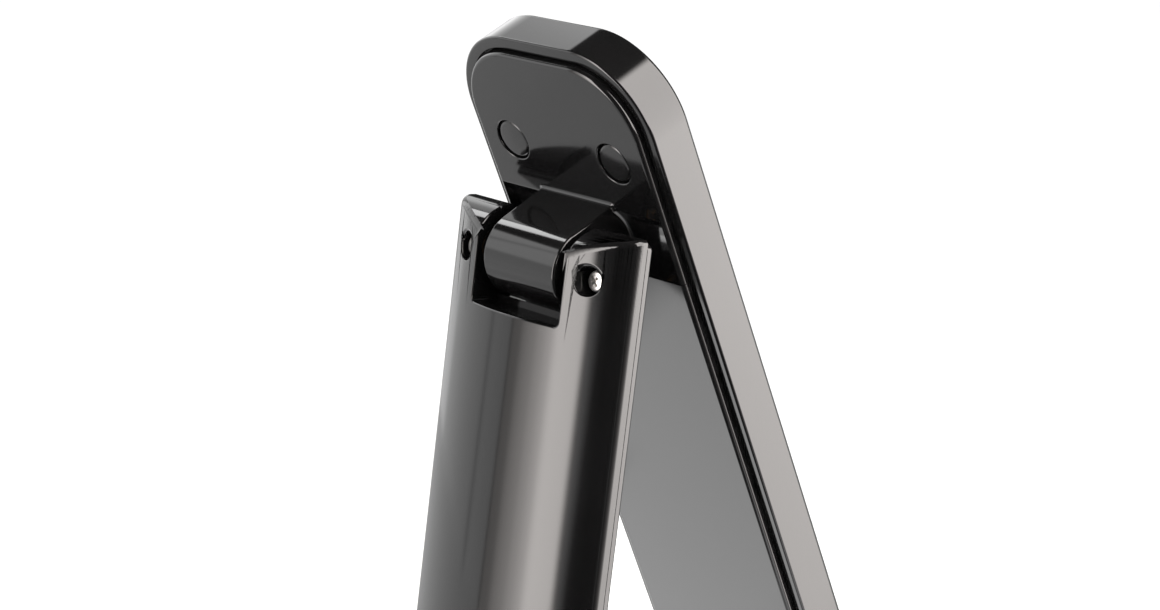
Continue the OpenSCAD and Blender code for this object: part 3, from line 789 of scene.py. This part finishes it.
    def rear_cover(self) -> bpy.types.Object:
        """The long lower cover."""
        inset = self.half - self.cover_half
        top = -self.trough_half - self.seam
        blank = self.cover_blank(self.cover_low, top, self.bottom_r - inset, 0)
        blank.round(self.cover_edge, lambda p: p.y > self.y_cover - ON and p.z < top - 0.5, 5)
        blank.round(self.seam_edge, lambda p: p.y > self.y_cover - 0.6 and p.z > top - 0.01, 2)
        blank.cut(*self.plug_holes("lower_screw_plugs"), self.lip_room()).tidy(flat=0.2)
        blank.round(self.plug_rim, self.rim_test("lower_screw_plugs"), 3)
        return self.piece("long_rear_cover", blank, "cover_plastic", "rear_cover", self.looks.gloss)

    def lip_room(self) -> Solid:
        """The room inside the lower cover for the ledge's lip when the ledge is folded."""
        low, high = self.lean.box("album_ledge")
        pin_low, pin_high = self.lean.box("ledge_pin")
        pin = (pin_low + pin_high) / 2
        tip, depth = pin.z + pin.y - low.y, pin.y + high.z - pin.z
        return Solid.block((low.x - 0.4, self.y_shelf - 1, tip - 3.6),
                           (high.x + 0.4, depth + 0.4, tip + 0.6))

    def plugs(self, name: str, node: str) -> bpy.types.Object:
        """A pair of screw plugs with rounded edges and a faintly domed face."""
        low, high = self.lean.box(node)
        x, z, radius = self.lean.right_disc(node)
        edge, dome = 0.85, 0.06
        face = high.y - dome
        crown = [(r, face + dome * (1 - (r / (radius - edge)) ** 2)) for r in (2.6, 1.8, 0.9, 0.0)]
        profile = [(0.0, low.y), (radius, low.y), *Draw.arc((radius - edge, face - edge), edge, 0, 90, 9),
                   *crown]
        pair = [Solid.turned(profile, (side * x, z), 96) for side in (-1, 1)]
        return self.piece(name, pair[0].join(pair[1]), "plug_plastic", node, self.looks.plug)

    def front_plate(self) -> bpy.types.Object:
        """The front face with the ledge's pocket, the fingernail dip and the pad's shallow seat."""
        inset = self.rabbet + 0.1
        outline = Draw.round_rect(self.half - inset, self.low + inset, self.high - inset,
                                  self.bottom_r - inset, self.top_r - inset, 24)
        plate = Solid.prism(outline, Axis.Y, self.y_front, self.y_front + self.plate_t)
        plate.round(0.3, lambda p: p.y < self.y_front + ON, 3)
        low, high = self.ledge_box()
        floor, deep = self.pocket_depths()
        wall = 1.2
        tub = Solid.block((low.x - wall, self.y_front + 1, low.z - wall),
                          (high.x + wall, floor + wall, high.z + wall))
        lip = Solid.block((low.x - wall, self.y_front + 1, high.z - 4.6 - wall),
                          (high.x + wall, deep + wall, high.z + wall))
        plate.join(tub, lip)
        plate.cut(Solid.block((low.x, self.y_front - 1, low.z), (high.x, floor, high.z)),
                  Solid.block((low.x, self.y_front - 1, high.z - 4.5), (high.x, deep, high.z)))
        dip = Draw.round_rect(8, high.z - 1, high.z + 5, 0, 2.5, 12)
        plate.cut(Solid.prism(dip, Axis.Y, self.y_front - 1, self.y_front + 1.3))
        pad_low, pad_high = self.lean.box("grip_pad")
        seat = Draw.round_rect(pad_high.x + 0.1, pad_low.z - 0.1, pad_high.z + 0.1, 8, 8)
        plate.cut(Solid.prism(seat, Axis.Y, self.y_front - 1, pad_high.y)).tidy(flat=0.2)
        plate.round(0.25, lambda p: p.y < self.y_front + 0.02 and abs(p.x) < self.half - inset - 0.7
                    and p.z < pad_low.z - 1, 3)
        return self.piece("front_plate_with_pocket", plate, "front_plastic", "front_plate",
                          self.looks.front)

    def ledge_box(self) -> tuple[Vector, Vector]:
        """The pocket's opening, round the folded ledge."""
        low, high = self.lean.box("album_ledge")
        pin_low, pin_high = self.lean.box("ledge_pin")
        pin_z, reach = (pin_low.z + pin_high.z) / 2, -low.y + (pin_low.y + pin_high.y) / 2
        return (Vector((low.x - 0.35, 0, low.z - 0.08)), Vector((high.x + 0.35, 0, pin_z + reach + 1)))

    def pocket_depths(self) -> tuple[float, float]:
        """How deep the pocket is, behind the folded ledge and behind its lip."""
        low, high = self.lean.box("album_ledge")
        thick = 2 * (self.lean.box("ledge_pin")[1].z - 1.0 - low.z)
        lip = high.z - low.z - thick
        return self.y_front + thick + 0.55, self.y_front + thick + lip + 0.4

    def grip_pad(self) -> bpy.types.Object:
        """The rubber pad that the album leans on, with fine ribs across it."""
        low, high = self.lean.box("grip_pad")
        pad = Solid.prism(Draw.round_rect(high.x, low.z, high.z, 8, 8), Axis.Y, low.y, high.y)
        pitch = 3.2
        count = int((high.z - low.z - 12) / pitch)
        grooves = [Solid.rod(Axis.X, (low.y - 0.28, low.z + 8 + i * pitch), 0.5, 5 - high.x, high.x - 5, 16)
                   for i in range(count)]
        pad.round(0.25, lambda p: p.y < low.y + ON, 3)
        pad.cut(*grooves)
        return self.piece("ribbed_grip_pad", pad, "pad_rubber", "grip_pad", self.looks.pad)

    def build(self) -> list[bpy.types.Object]:
        """Builds every piece of the panel."""
        return [self.outer_frame(), self.hinge_cover(), self.rear_cover(),
                self.plugs("upper_plugs", "upper_screw_plugs"),
                self.plugs("lower_plugs", "lower_screw_plugs"), self.front_plate(), self.grip_pad()]


# ---------------------------------------------------------------- the rear leg


@dataclass
class RearLeg(Assembly):
    """The curved outer shell with its ears, the flat inner cover and their screws, in the leg's frame."""

    body: ClassVar[str] = "rear_leg"
    foot_edge: float = 1.2
    plate_top_r: float = 1.2
    plate_edge: float = 0.6
    blister_end: float = 18.2
    blister_edge: float = 0.8
    curve_r: float = 53.8
    shoulder_r: float = 6.4
    side_r: float = 2.8
    shoulder_turn: float = 60.0
    seam: float = 0.15
    inner_t: float = 1.45
    bottom_r: float = 8.0
    ear_r: float = 9.0
    notch_half: float = 13.0
    notch_drop: float = 10.3
    notch_r: float = 1.2
    cradle_r: float = 9.0
    cradle_y: float = 1.5
    hole_r: float = 2.8
    head_h: float = 2.1
    crease_r: float = 0.9
    rim_r: float = 0.4
    half: float = field(init=False)
    low: float = field(init=False)
    crest: float = field(init=False)
    y_seam: float = field(init=False)

    def __post_init__(self) -> None:
        """Reads the sizes that the CAD nodes give."""
        low, high = self.lean.box("leg_outer_shell")
        self.half, self.low, self.crest = high.x, low.z, high.y
        self.y_seam = low.y + self.seam

    def section(self) -> Outline:
        """The leg's cross-section: the crowned face, its shoulders and its rounded sides."""
        centre_y = self.crest - self.curve_r
        turn = math.radians(self.shoulder_turn)
        step = self.shoulder_r - self.side_r
        shoulder_x = self.half - self.side_r - step * math.sin(turn)
        shoulder_y = centre_y + math.sqrt((self.curve_r - self.shoulder_r) ** 2 - shoulder_x ** 2)
        side = (self.half - self.side_r, shoulder_y + step * math.cos(turn))
        start = math.degrees(math.atan2(shoulder_y - centre_y, shoulder_x))
        right = Draw.arc(side, self.side_r, 0, 90 - self.shoulder_turn, 10)
        right += Draw.arc((shoulder_x, shoulder_y), self.shoulder_r, 90 - self.shoulder_turn, start, 16)[1:]
        crown = Draw.arc((0, centre_y), self.curve_r, start, 180 - start, 44)[1:-1]
        left = [(-x, y) for x, y in reversed(right)]
        return [(self.half, self.y_seam), *right, *crown, *left, (-self.half, self.y_seam)]

    def barrel_room(self) -> Solid:
        """The cutter for the barrel and arm: the notch, the cradle's round and the way above it."""
        out, top = self.crest + 2, self.ear_r + 5
        start = -math.degrees(math.acos(self.cradle_y / self.cradle_r))
        profile = [(out, -self.notch_drop), (self.cradle_y, -self.notch_drop),
                   *Draw.arc((0, 0), self.cradle_r, start, -180, 48), (-20, 0), (-20, top), (out, top)]
        room = Solid.prism(profile, Axis.X, -self.notch_half, self.notch_half)
        floor = -self.notch_drop
        side = self.notch_half - 0.01
        return room.round(self.notch_r, lambda p: abs(p.z - floor) < 0.01 and abs(p.x) > side
                          and p.y > self.cradle_y + 0.1, 8)

    def foot_outline(self) -> Outline:
        """The outline that rounds the leg's two lower corners and leaves its sides alone."""
        side, base = self.half - self.bottom_r, self.low + self.bottom_r
        right = Draw.arc((side, base), self.bottom_r, -90, 0, 24)
        left = Draw.arc((-side, base), self.bottom_r, 180, 270, 24)
        out, top = self.half + 1, self.ear_r + 2
        return [*right, (out, base), (out, top), (-out, top), (-out, base), *left]

    def ear_profile(self) -> Outline:
        """The side outline, in y and z: straight below the hinge and round about it above."""
        out = self.crest + 1
        return [(-5, self.low - 2), (out, self.low - 2), (out, 0),
                *Draw.arc((0, 0), self.ear_r, 0, 90, 48), (-5, self.ear_r)]

    def outer_shell(self) -> bpy.types.Object:
        """The outer shell: crowned face, round ears, notch, cradle and recessed screw holes."""
        leg = Solid.prism(self.section(), Axis.Z, self.low - 0.5, self.ear_r + 1)
        leg.keep(Solid.prism(self.foot_outline(), Axis.Y, -6, self.crest + 2))
        leg.keep(Solid.prism(self.ear_profile(), Axis.X, -self.half - 1, self.half + 1)).tidy(flat=0.15)
        x, z, _ = self.lean.right_disc("ear_screws")
        seat = self.lean.box("ear_screws")[1].y - self.head_h
        holes = [Solid.rod(Axis.Y, (side * x, z), self.hole_r, seat, self.crest + 1, 96) for side in (-1, 1)]
        leg.cut(self.barrel_room(), *holes).tidy(flat=0.15)
        leg.slice([self.low + 30, -120, -80, -50, -30, -18, -13])
        leg.round(self.foot_edge, lambda p: p.z < self.low + self.bottom_r + 0.3
                  and p.y > self.y_seam + 0.3, 4, 24)

        def ear_edge(p: Vector) -> bool:
            """Picks the crease over each ear and the ears' outer ends."""
            return p.z > 0.6 and abs(p.x) > self.notch_half + 0.01 and p.y > self.y_seam + 0.01

        leg.round(self.crease_r, ear_edge, 5, 14)
        rim = self.hole_r + 0.12
        leg.round(0.25, lambda p: p.y > seat + 0.5 and math.hypot(abs(p.x) - x, p.z - z) < rim, 3, 20)

        def notch_edge(p: Vector) -> bool:
            """Picks the notch's outline on the outer face and over the ears."""
            beside = abs(abs(p.x) - self.notch_half) < ON and p.z > -self.notch_drop
            below = abs(p.z + self.notch_drop) < self.notch_r + 0.02 and abs(p.x) < self.notch_half + 0.02
            return (beside or below) and p.y > 3.0

        leg.round(self.rim_r, notch_edge, 3, 30)
        return self.piece("crowned_leg_shell", leg, "leg_plastic", "leg_outer_shell", self.looks.leg,
                          true_normal=self.crown_normal)

    def crown_normal(self, p: Vector) -> Vector | None:
        """The exact normal of the crowned outer face, or of the ears' round, at a point on one of them."""
        from_axis = Vector((p.x, p.y - self.crest + self.curve_r, 0))
        if abs(from_axis.length - self.curve_r) < 0.012:
            return from_axis.normalized()
        over_ear = Vector((0, p.y, p.z))
        if abs(over_ear.length - self.ear_r) < 0.012 and p.z > 0.1:
            return over_ear.normalized()
        return None

    def inner_cover(self) -> bpy.types.Object:
        """The flat inner cover with a blister over each of the fork's eyes."""
        y_back = self.y_seam - self.seam
        outline = Draw.round_rect(self.half, self.low, self.lean.box("leg_inner_cover")[1].z,
                                  self.bottom_r, self.plate_top_r, 20)
        plate = Solid.prism(outline, Axis.Y, y_back - self.inner_t, y_back)
        plate.round(self.plate_edge, lambda p: p.y < y_back - self.inner_t + ON, 4)
        radius, end = -self.lean.box("leg_inner_cover")[0].y, self.blister_end
        for side in (-1, 1):
            ends = sorted((side * (self.notch_half - 1), side * end))
            blister = Solid.rod(Axis.X, (0, 0), radius, ends[0], ends[1], 96)
            blister.keep(Solid.block((-30, -20, -20), (30, y_back - 0.1, 20)))
            blister.round(self.blister_edge, lambda p: abs(p.x) > end - ON and p.y < y_back - 0.3, 4)
            plate.join(blister)
        plate.cut(self.barrel_room()).tidy(flat=0.2)
        screw_r = self.lean.box("inner_cover_screws")[1].x
        back = self.lean.matrix().inverted()
        heights = [(back @ v.co).z for v in frame["nodes"]["inner_cover_screws"].data.vertices]
        places: list[list[float]] = []
        for height in sorted(heights):
            if places and height - places[-1][-1] < 3:
                places[-1].append(height)
            else:
                places.append([height])
        face = y_back - self.inner_t
        cuts = [Solid.rod(Axis.Y, (0, (g[0] + g[-1]) / 2), screw_r + 0.2, face - 1, face + 0.9, 64)
                for g in places]
        plate.cut(*cuts).tidy(flat=0.2)
        return self.piece("flat_leg_cover", plate, "leg_plastic", "leg_inner_cover", self.looks.leg)

    def ear_screws(self) -> bpy.types.Object:
        """The two bright pan-head screws in the ears, with tapered cross recesses."""
        low, high = self.lean.box("ear_screws")
        x, z, radius = self.lean.right_disc("ear_screws")
        edge, crown, seat, shank = 0.5, 0.15, high.y - self.head_h, 1.25
        face = high.y - crown
        profile = [(0.0, low.y), (1.0, low.y), (shank, low.y + 0.3), (shank, seat), (radius, seat),
                   *Draw.arc((radius - edge, face - edge), edge, 0, 90, 6),
                   (0.8, face + crown * 0.8), (0.0, face + crown)]
        pair = []
        for side in (-1, 1):
            head = Solid.turned(profile, (side * x, z), 64)
            head.cut(*self.cross((side * x, z), radius * 0.62, high.y))
            pair.append(head)
        return self.piece("bright_ear_screws", pair[0].join(pair[1]), "bright_screw", "ear_screws",
                          self.looks.bright, sharp=32)

    @staticmethod
    def cross(centre: Point, reach: float, top: float) -> list[Solid]:
        """Two tapered wedges that cut a cross recess."""
        wedges = []
        for turn in (math.radians(45), math.radians(135)):
            ends = []
            for y, long, wide in ((top - 0.95, reach * 0.45, 0.2), (top + 0.1, reach, 0.36)):
                corners = ((-long, -wide), (long, -wide), (long, wide), (-long, wide))
                ends.append([Vector((centre[0] + a * math.cos(turn) - b * math.sin(turn), y,
                                     centre[1] + a * math.sin(turn) + b * math.cos(turn)))
                             for a, b in corners])
            wedges.append(Solid.between_ends(ends))
        return wedges

    def build(self) -> list[bpy.types.Object]:
        """Builds every piece of the leg."""
        return [self.outer_shell(), self.inner_cover(), self.ear_screws()]


# ---------------------------------------------------------------- the ledge


@dataclass
class AlbumLedge(Assembly):
    """The fold-out ledge and its pad, in a frame about the ledge's pin."""

    body: ClassVar[str] = "album_ledge"
    lip_t: float = 3.0
    pin_hole_r: float = 1.05

    def ledge(self) -> bpy.types.Object:
        """The ledge with its lip, its round knuckle and the pad's seat."""
        low, high = self.lean.box("album_ledge")
        thick = -2 * low.z
        shelf = Solid.block((low.x, low.y, low.z), (high.x, 0, thick / 2))
        shelf.join(Solid.block((low.x, low.y, low.z), (high.x, low.y + self.lip_t, high.z)),
                   Solid.rod(Axis.X, (0, 0), thick / 2, low.x, high.x, 64)).tidy(flat=0.2)
        shelf.round(0.45, lambda p: p.y < thick / 2 - 0.3, 4, 30)
        pad_low, pad_high = self.lean.box("ledge_pad")
        gap = 0.1
        shelf.cut(Solid.block((pad_low.x - gap, pad_low.y - gap, pad_low.z),
                              (pad_high.x + gap, pad_high.y + gap, thick)),
                  Solid.rod(Axis.X, (0, 0), self.pin_hole_r, low.x - 1, high.x + 1, 48))
        return self.piece("fold_out_ledge", shelf, "front_plastic", "album_ledge", self.looks.front)

    def pad(self) -> bpy.types.Object:
        """The rubber pad on the ledge, with grooves along it."""
        low, high = self.lean.box("ledge_pad")
        pad = Solid.block(low, high)
        pad.round(0.2, lambda p: p.z > high.z - 0.02, 3)
        count = int((high.y - low.y - 3) / 2.4)
        grooves = [Solid.rod(Axis.X, (low.y + 2.2 + i * 2.4, high.z + 0.26), 0.4, low.x + 2, high.x - 2, 16)
                   for i in range(count)]
        pad.cut(*grooves)
        return self.piece("ribbed_ledge_pad", pad, "pad_rubber", "ledge_pad", self.looks.pad)

    def build(self) -> list[bpy.types.Object]:
        """Builds the ledge's pieces."""
        return [self.ledge(), self.pad()]


# ---------------------------------------------------------------- metal and feet


@dataclass
class Carried:
    """The CAD nodes whose shape is kept: they get softened edges and a material."""

    looks: Finishes

    def plan(self) -> dict[str, tuple[Finish, float]]:
        """Each kept node's finish, and how far its edges are softened, in millimetres."""
        looks = self.looks
        screws = ("upper_cover_screws", "lower_cover_screws", "bracket_screws", "fork_screws",
                  "inner_cover_screws")
        plan = {name: (looks.zinc, 0.12) for name in screws}
        plan.update({"hinge_bracket": (looks.steel, 0.2), "hinge_fork": (looks.steel, 0.1),
                     "disc_springs": (looks.steel, 0.06), "spacer_bushes": (looks.steel, 0.08),
                     "hinge_shaft": (looks.shaft, 0.15), "ledge_pin": (looks.shaft, 0.15),
                     "friction_washers": (looks.bronze, 0.1),
                     "panel_foot": (looks.foot, 0.3), "leg_foot": (looks.foot, 0.3)})
        return plan

    def dress(self) -> None:
        """Gives every kept node its edges and its material."""
        for name, (finish, edge) in self.plan().items():
            node = frame["nodes"][name]
            node.data.materials.clear()
            node.data.materials.append(finish.build())
            weld = node.modifiers.new("weld", "WELD")
            weld.merge_threshold = 0.01 * MM
            bevel = node.modifiers.new("softened_edges", "BEVEL")
            bevel.width = edge * MM
            bevel.segments = 2
            bevel.limit_method = "ANGLE"
            bevel.angle_limit = math.radians(40)
            bevel.use_clamp_overlap = True
            log.info("%s: kept, %s, edges %.2f mm", name, finish.name, edge)


# ---------------------------------------------------------------- studio


def between(knots: Knots, at: float) -> float:
    """A value read smoothly between knots, and held beyond the first and the last."""
    at = min(max(at, knots[0][0]), knots[-1][0])
    for (x0, v0), (x1, v1) in zip(knots, knots[1:]):
        if at <= x1:
            share = (at - x0) / (x1 - x0)
            return v0 + (v1 - v0) * share * share * (3 - 2 * share)
    return 0.0


def glowing(name: str, grid: Sequence[Sequence[Vector]], glow: Sequence[float],
            closed: bool = False) -> bpy.types.Object:
    """A panel that shines by the colour at its points; the camera doesn't see it and it casts no shadow.

    Args:
        name: The panel's name.
        grid: Its points, row by row.
        glow: The red, green, blue and alpha of each point in turn.
        closed: Whether the rows are rings, the first round a closed middle.

    Returns:
        The panel, marked as part of the stage.
    """
    shape = bmesh.new()
    rows = [[shape.verts.new(p) for p in row] for row in grid]
    count = len(rows[0])
    for one, two in zip(rows, rows[1:]):
        for i in range(count if closed else count - 1):
            j = (i + 1) % count
            shape.faces.new((one[i], one[j], two[j], two[i]))
    if closed:
        shape.faces.new(rows[0][::-1])
    mesh = bpy.data.meshes.new(name)
    shape.to_mesh(mesh)
    shape.free()
    mesh.color_attributes.new("glow", "FLOAT_COLOR", "POINT").data.foreach_set("color", glow)
    mesh.materials.append(glow_material())
    panel = link(name, mesh)
    panel.visible_camera = False
    panel.visible_shadow = False
    return panel


def glow_material() -> bpy.types.Material:
    """The panels' material: it shines towards the stand and is clear from behind."""
    made = bpy.data.materials.get("soft_box")
    if made:
        return made
    made = bpy.data.materials.new("soft_box")
    tree = Tree.of(made)
    glow = tree.add("ShaderNodeVertexColor", layer_name="glow").outputs["Color"]
    shine = tree.add("ShaderNodeEmission", {"Color": glow, "Strength": 1.0}).outputs[0]
    clear = tree.add("ShaderNodeBsdfTransparent").outputs[0]
    back = tree.add("ShaderNodeNewGeometry").outputs["Backfacing"]
    mixed = tree.add("ShaderNodeMixShader", {"0": back, "1": shine, "2": clear}).outputs[0]
    tree.add("ShaderNodeOutputMaterial", {"Surface": mixed})
    return made


@dataclass(frozen=True)
class SoftBox:
    """A curved light panel round the stand: its brightness by azimuth, and its share of it by elevation.

    Azimuth 0 is straight behind the stand and 90 is towards +X; both angles are in degrees.
    """

    name: str
    turns: Knots
    heights: Knots
    reach: float = 0.6
    colour: Colour = (1.0, 1.0, 1.0)
    step: float = 1.5

    def build(self, centre: Vector) -> bpy.types.Object:
        """Builds the panel, curved round a centre."""
        wide = self.turns[-1][0] - self.turns[0][0]
        tall = self.heights[-1][0] - self.heights[0][0]
        across, up = max(2, round(wide / self.step)), max(2, round(tall / self.step))
        glow: list[float] = []
        grid = []
        for j in range(up + 1):
            height = self.heights[0][0] + tall * j / up
            row = []
            for i in range(across + 1):
                turn = self.turns[0][0] + wide * i / across
                a, e = math.radians(turn), math.radians(height)
                out = Vector((math.sin(a) * math.cos(e), math.cos(a) * math.cos(e), math.sin(e)))
                row.append(centre + out * self.reach)
                level = between(self.turns, turn) * between(self.heights, height)
                glow += [level * c for c in self.colour] + [1.0]
            grid.append(row)
        return glowing(self.name, grid, glow)


@dataclass(frozen=True)
class FloorGlow:
    """How bright the gloss sees the floor: a pool at the stand, and dimmer ground round it.

    The knots give the brightness by azimuth, by distance, and by azimuth on the pool's outer rings.
    """

    turns: Knots = ((-181, 1), (-76, 1), (-70, 0.02), (-2, 0.02), (2, 1), (181, 1))
    sides: Knots = ((-181, 0.4), (40, 0.4), (50, 1), (85, 1), (90, 0.4), (181, 0.4))
    pool: Knots = ((-1, 2.5), (0.18, 2.5), (0.21, 0.9), (0.3, 0.9), (0.4, 1.2), (30, 1.2))
    rings: tuple[float, ...] = (0.08, 0.15, 0.156, 0.165, 0.18, 0.19, 0.2, 0.21, 0.25, 0.3, 0.4, 0.8,
                                1.6, 3.0, 8.0, 30.0)
    outer_rings: tuple[float, float] = (0.155, 0.2)
    lift: float = 0.0002
    step: int = 2

    def build(self, centre: Vector) -> None:
        """Builds the glow in rings about the point on the floor below a centre."""
        glow: list[float] = []
        grid = []
        start, end = self.outer_rings
        for reach in self.rings:
            row = []
            for turn in range(-180, 180, self.step):
                a = math.radians(turn)
                row.append(Vector((centre.x + reach * math.sin(a), centre.y + reach * math.cos(a),
                                   self.lift)))
                share = between(self.sides, turn) if start < reach < end else 1.0
                glow += [between(self.turns, turn) * between(self.pool, reach) * share] * 3 + [1.0]
            grid.append(row)
        glowing("floor_glow", grid, glow, closed=True).visible_diffuse = False


@dataclass
class Studio:
    """The pale floor, the light panels, the surrounding light and the camera."""

    hinge: Vector
    turn: float = 48.26
    rise: float = 15.9
    place: tuple[float, float, float] = (-0.3704, 0.3226, 0.1310)
    lens: float = 80.4
    fill: float = 1.15
    gloom: float = 0.03

    def soft_boxes(self) -> list[SoftBox]:
        """The panels that the gloss reflects."""
        warm = (1.05, 1.0, 0.97)
        return [
            SoftBox("rear_box", ((2, 0), (5, 9.3), (16, 9.5), (21, 6), (25, 4.5), (30, 3), (34, 2.3),
                                 (38, 1.1), (42, 1.1), (43, 0)),
                    ((-16.5, 1), (-16, 1), (35, 1), (45, 0)), 0.62, warm),
            SoftBox("left_wall", ((41, 0), (42, 1.25), (54, 1.3), (56, 0.75), (58, 1.3), (86, 1.4),
                                  (90, 1.9), (99, 1.8), (102, 0)),
                    ((-16, 1), (-15, 1), (4, 1), (10, 1.7), (36.5, 1.7), (37.5, 0)), 0.66),
            SoftBox("high_strip", ((84, 0), (86, 7), (99, 7), (101, 0)),
                    ((37, 0), (38.5, 1), (45.5, 1), (47, 0)), 0.6),
            SoftBox("right_low", ((-146, 0), (-143, 9), (-119, 9), (-113, 4), (-104, 1.6), (-94, 0.7),
                                  (-84, 0.25), (-74, 0)),
                    ((-46, 0.7), (-45, 0.7), (0, 1), (3, 1)), 0.26, warm),
            SoftBox("right_high", ((-146, 0), (-143, 9), (-78, 9), (-74, 0)),
                    ((3, 1), (4, 1), (60, 1), (66, 0)), 0.26, warm),
            SoftBox("high_left", ((100, 0), (103, 1.4), (112, 1.5), (119, 2.3), (125, 2.3), (127, 0)),
                    ((-16, 0.6), (4, 0.6), (12, 1), (42, 1), (45, 0)), 0.6),
        ]

    def floor(self) -> None:
        """A wide pale floor with a fine, faint mottle."""
        shape = bmesh.new()
        half, count = 3.0, 24
        bmesh.ops.create_grid(shape, x_segments=count, y_segments=count, size=half)
        mesh = bpy.data.meshes.new("floor")
        shape.to_mesh(mesh)
        shape.free()
        made = bpy.data.materials.new("pale_floor")
        tree = Tree.of(made)
        place = tree.add("ShaderNodeTexCoord").outputs["Object"]
        mottle = tree.spread(tree.noise(place, 14.0), 0.3, 0.7, 0.0, 1.0)
        colour = tree.mix(mottle, (0.9, 0.9, 0.9, 1.0), (0.93, 0.93, 0.93, 1.0))
        rough = tree.spread(mottle, 0.0, 1.0, 0.85, 0.95)
        shader = tree.add("ShaderNodeBsdfPrincipled", {"Base Color": colour, "Roughness": rough,
                                                       "Specular IOR Level": 0.1})
        tree.add("ShaderNodeOutputMaterial", {"Surface": shader.outputs["BSDF"]})
        mesh.materials.append(made)
        link("floor", mesh)

    def world(self) -> None:
        """White to the camera, soft fill to matt surfaces, and dim to the gloss."""
        world = bpy.data.worlds.new("studio")
        bpy.context.scene.world = world
        tree = Tree.of(world)
        path = tree.add("ShaderNodeLightPath").outputs
        to_fill = tree.add("ShaderNodeMix", {"0": path["Is Diffuse Ray"], "2": self.gloom, "3": self.fill},
                           data_type="FLOAT").outputs[0]
        strength = tree.add("ShaderNodeMix", {"0": path["Is Camera Ray"], "2": to_fill, "3": 1.05},
                            data_type="FLOAT").outputs[0]
        shine = tree.add("ShaderNodeBackground", {"Color": (1.0, 1.0, 1.0, 1.0), "Strength": strength})
        tree.add("ShaderNodeOutputWorld", {"Surface": shine.outputs[0]})

    def camera(self) -> None:
        """A long lens that looks down at the hinge from behind the stand."""
        data = bpy.data.cameras.new("camera")
        data.sensor_width = 36
        data.lens = self.lens
        data.clip_start, data.clip_end = 0.01, 50
        camera = link("camera", data)
        camera.location = self.hinge + Vector(self.place)
        turn, rise = math.radians(self.turn), math.radians(self.rise)
        towards = Vector((math.sin(turn) * math.cos(rise), -math.cos(turn) * math.cos(rise),
                          -math.sin(rise)))
        camera.rotation_euler = towards.to_track_quat("-Z", "Y").to_euler()
        bpy.context.scene.camera = camera

    def build(self) -> None:
        """Sets up the floor, the light and the camera."""
        self.floor()
        FloorGlow().build(self.hinge)
        self.world()
        for box in self.soft_boxes():
            box.build(self.hinge)
        self.camera()
        bpy.context.scene.view_settings.view_transform = "Standard"


def main() -> None:
    """Builds the stand's pieces, the metal inside it and the studio."""
    logging.basicConfig(level=logging.INFO, format="%(name)s: %(message)s")
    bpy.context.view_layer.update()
    frames = Frames.from_record()
    looks = Finishes()
    pieces = FrontPanel(frames.panel, looks).build()
    pieces += RearLeg(frames.leg, looks).build()
    pieces += AlbumLedge(frames.ledge, looks).build()
    Carried(looks).dress()
    Studio(frames.panel.origin).build()
    log.info("%d pieces made", len(pieces))


if __name__ == "__main__":
    main()
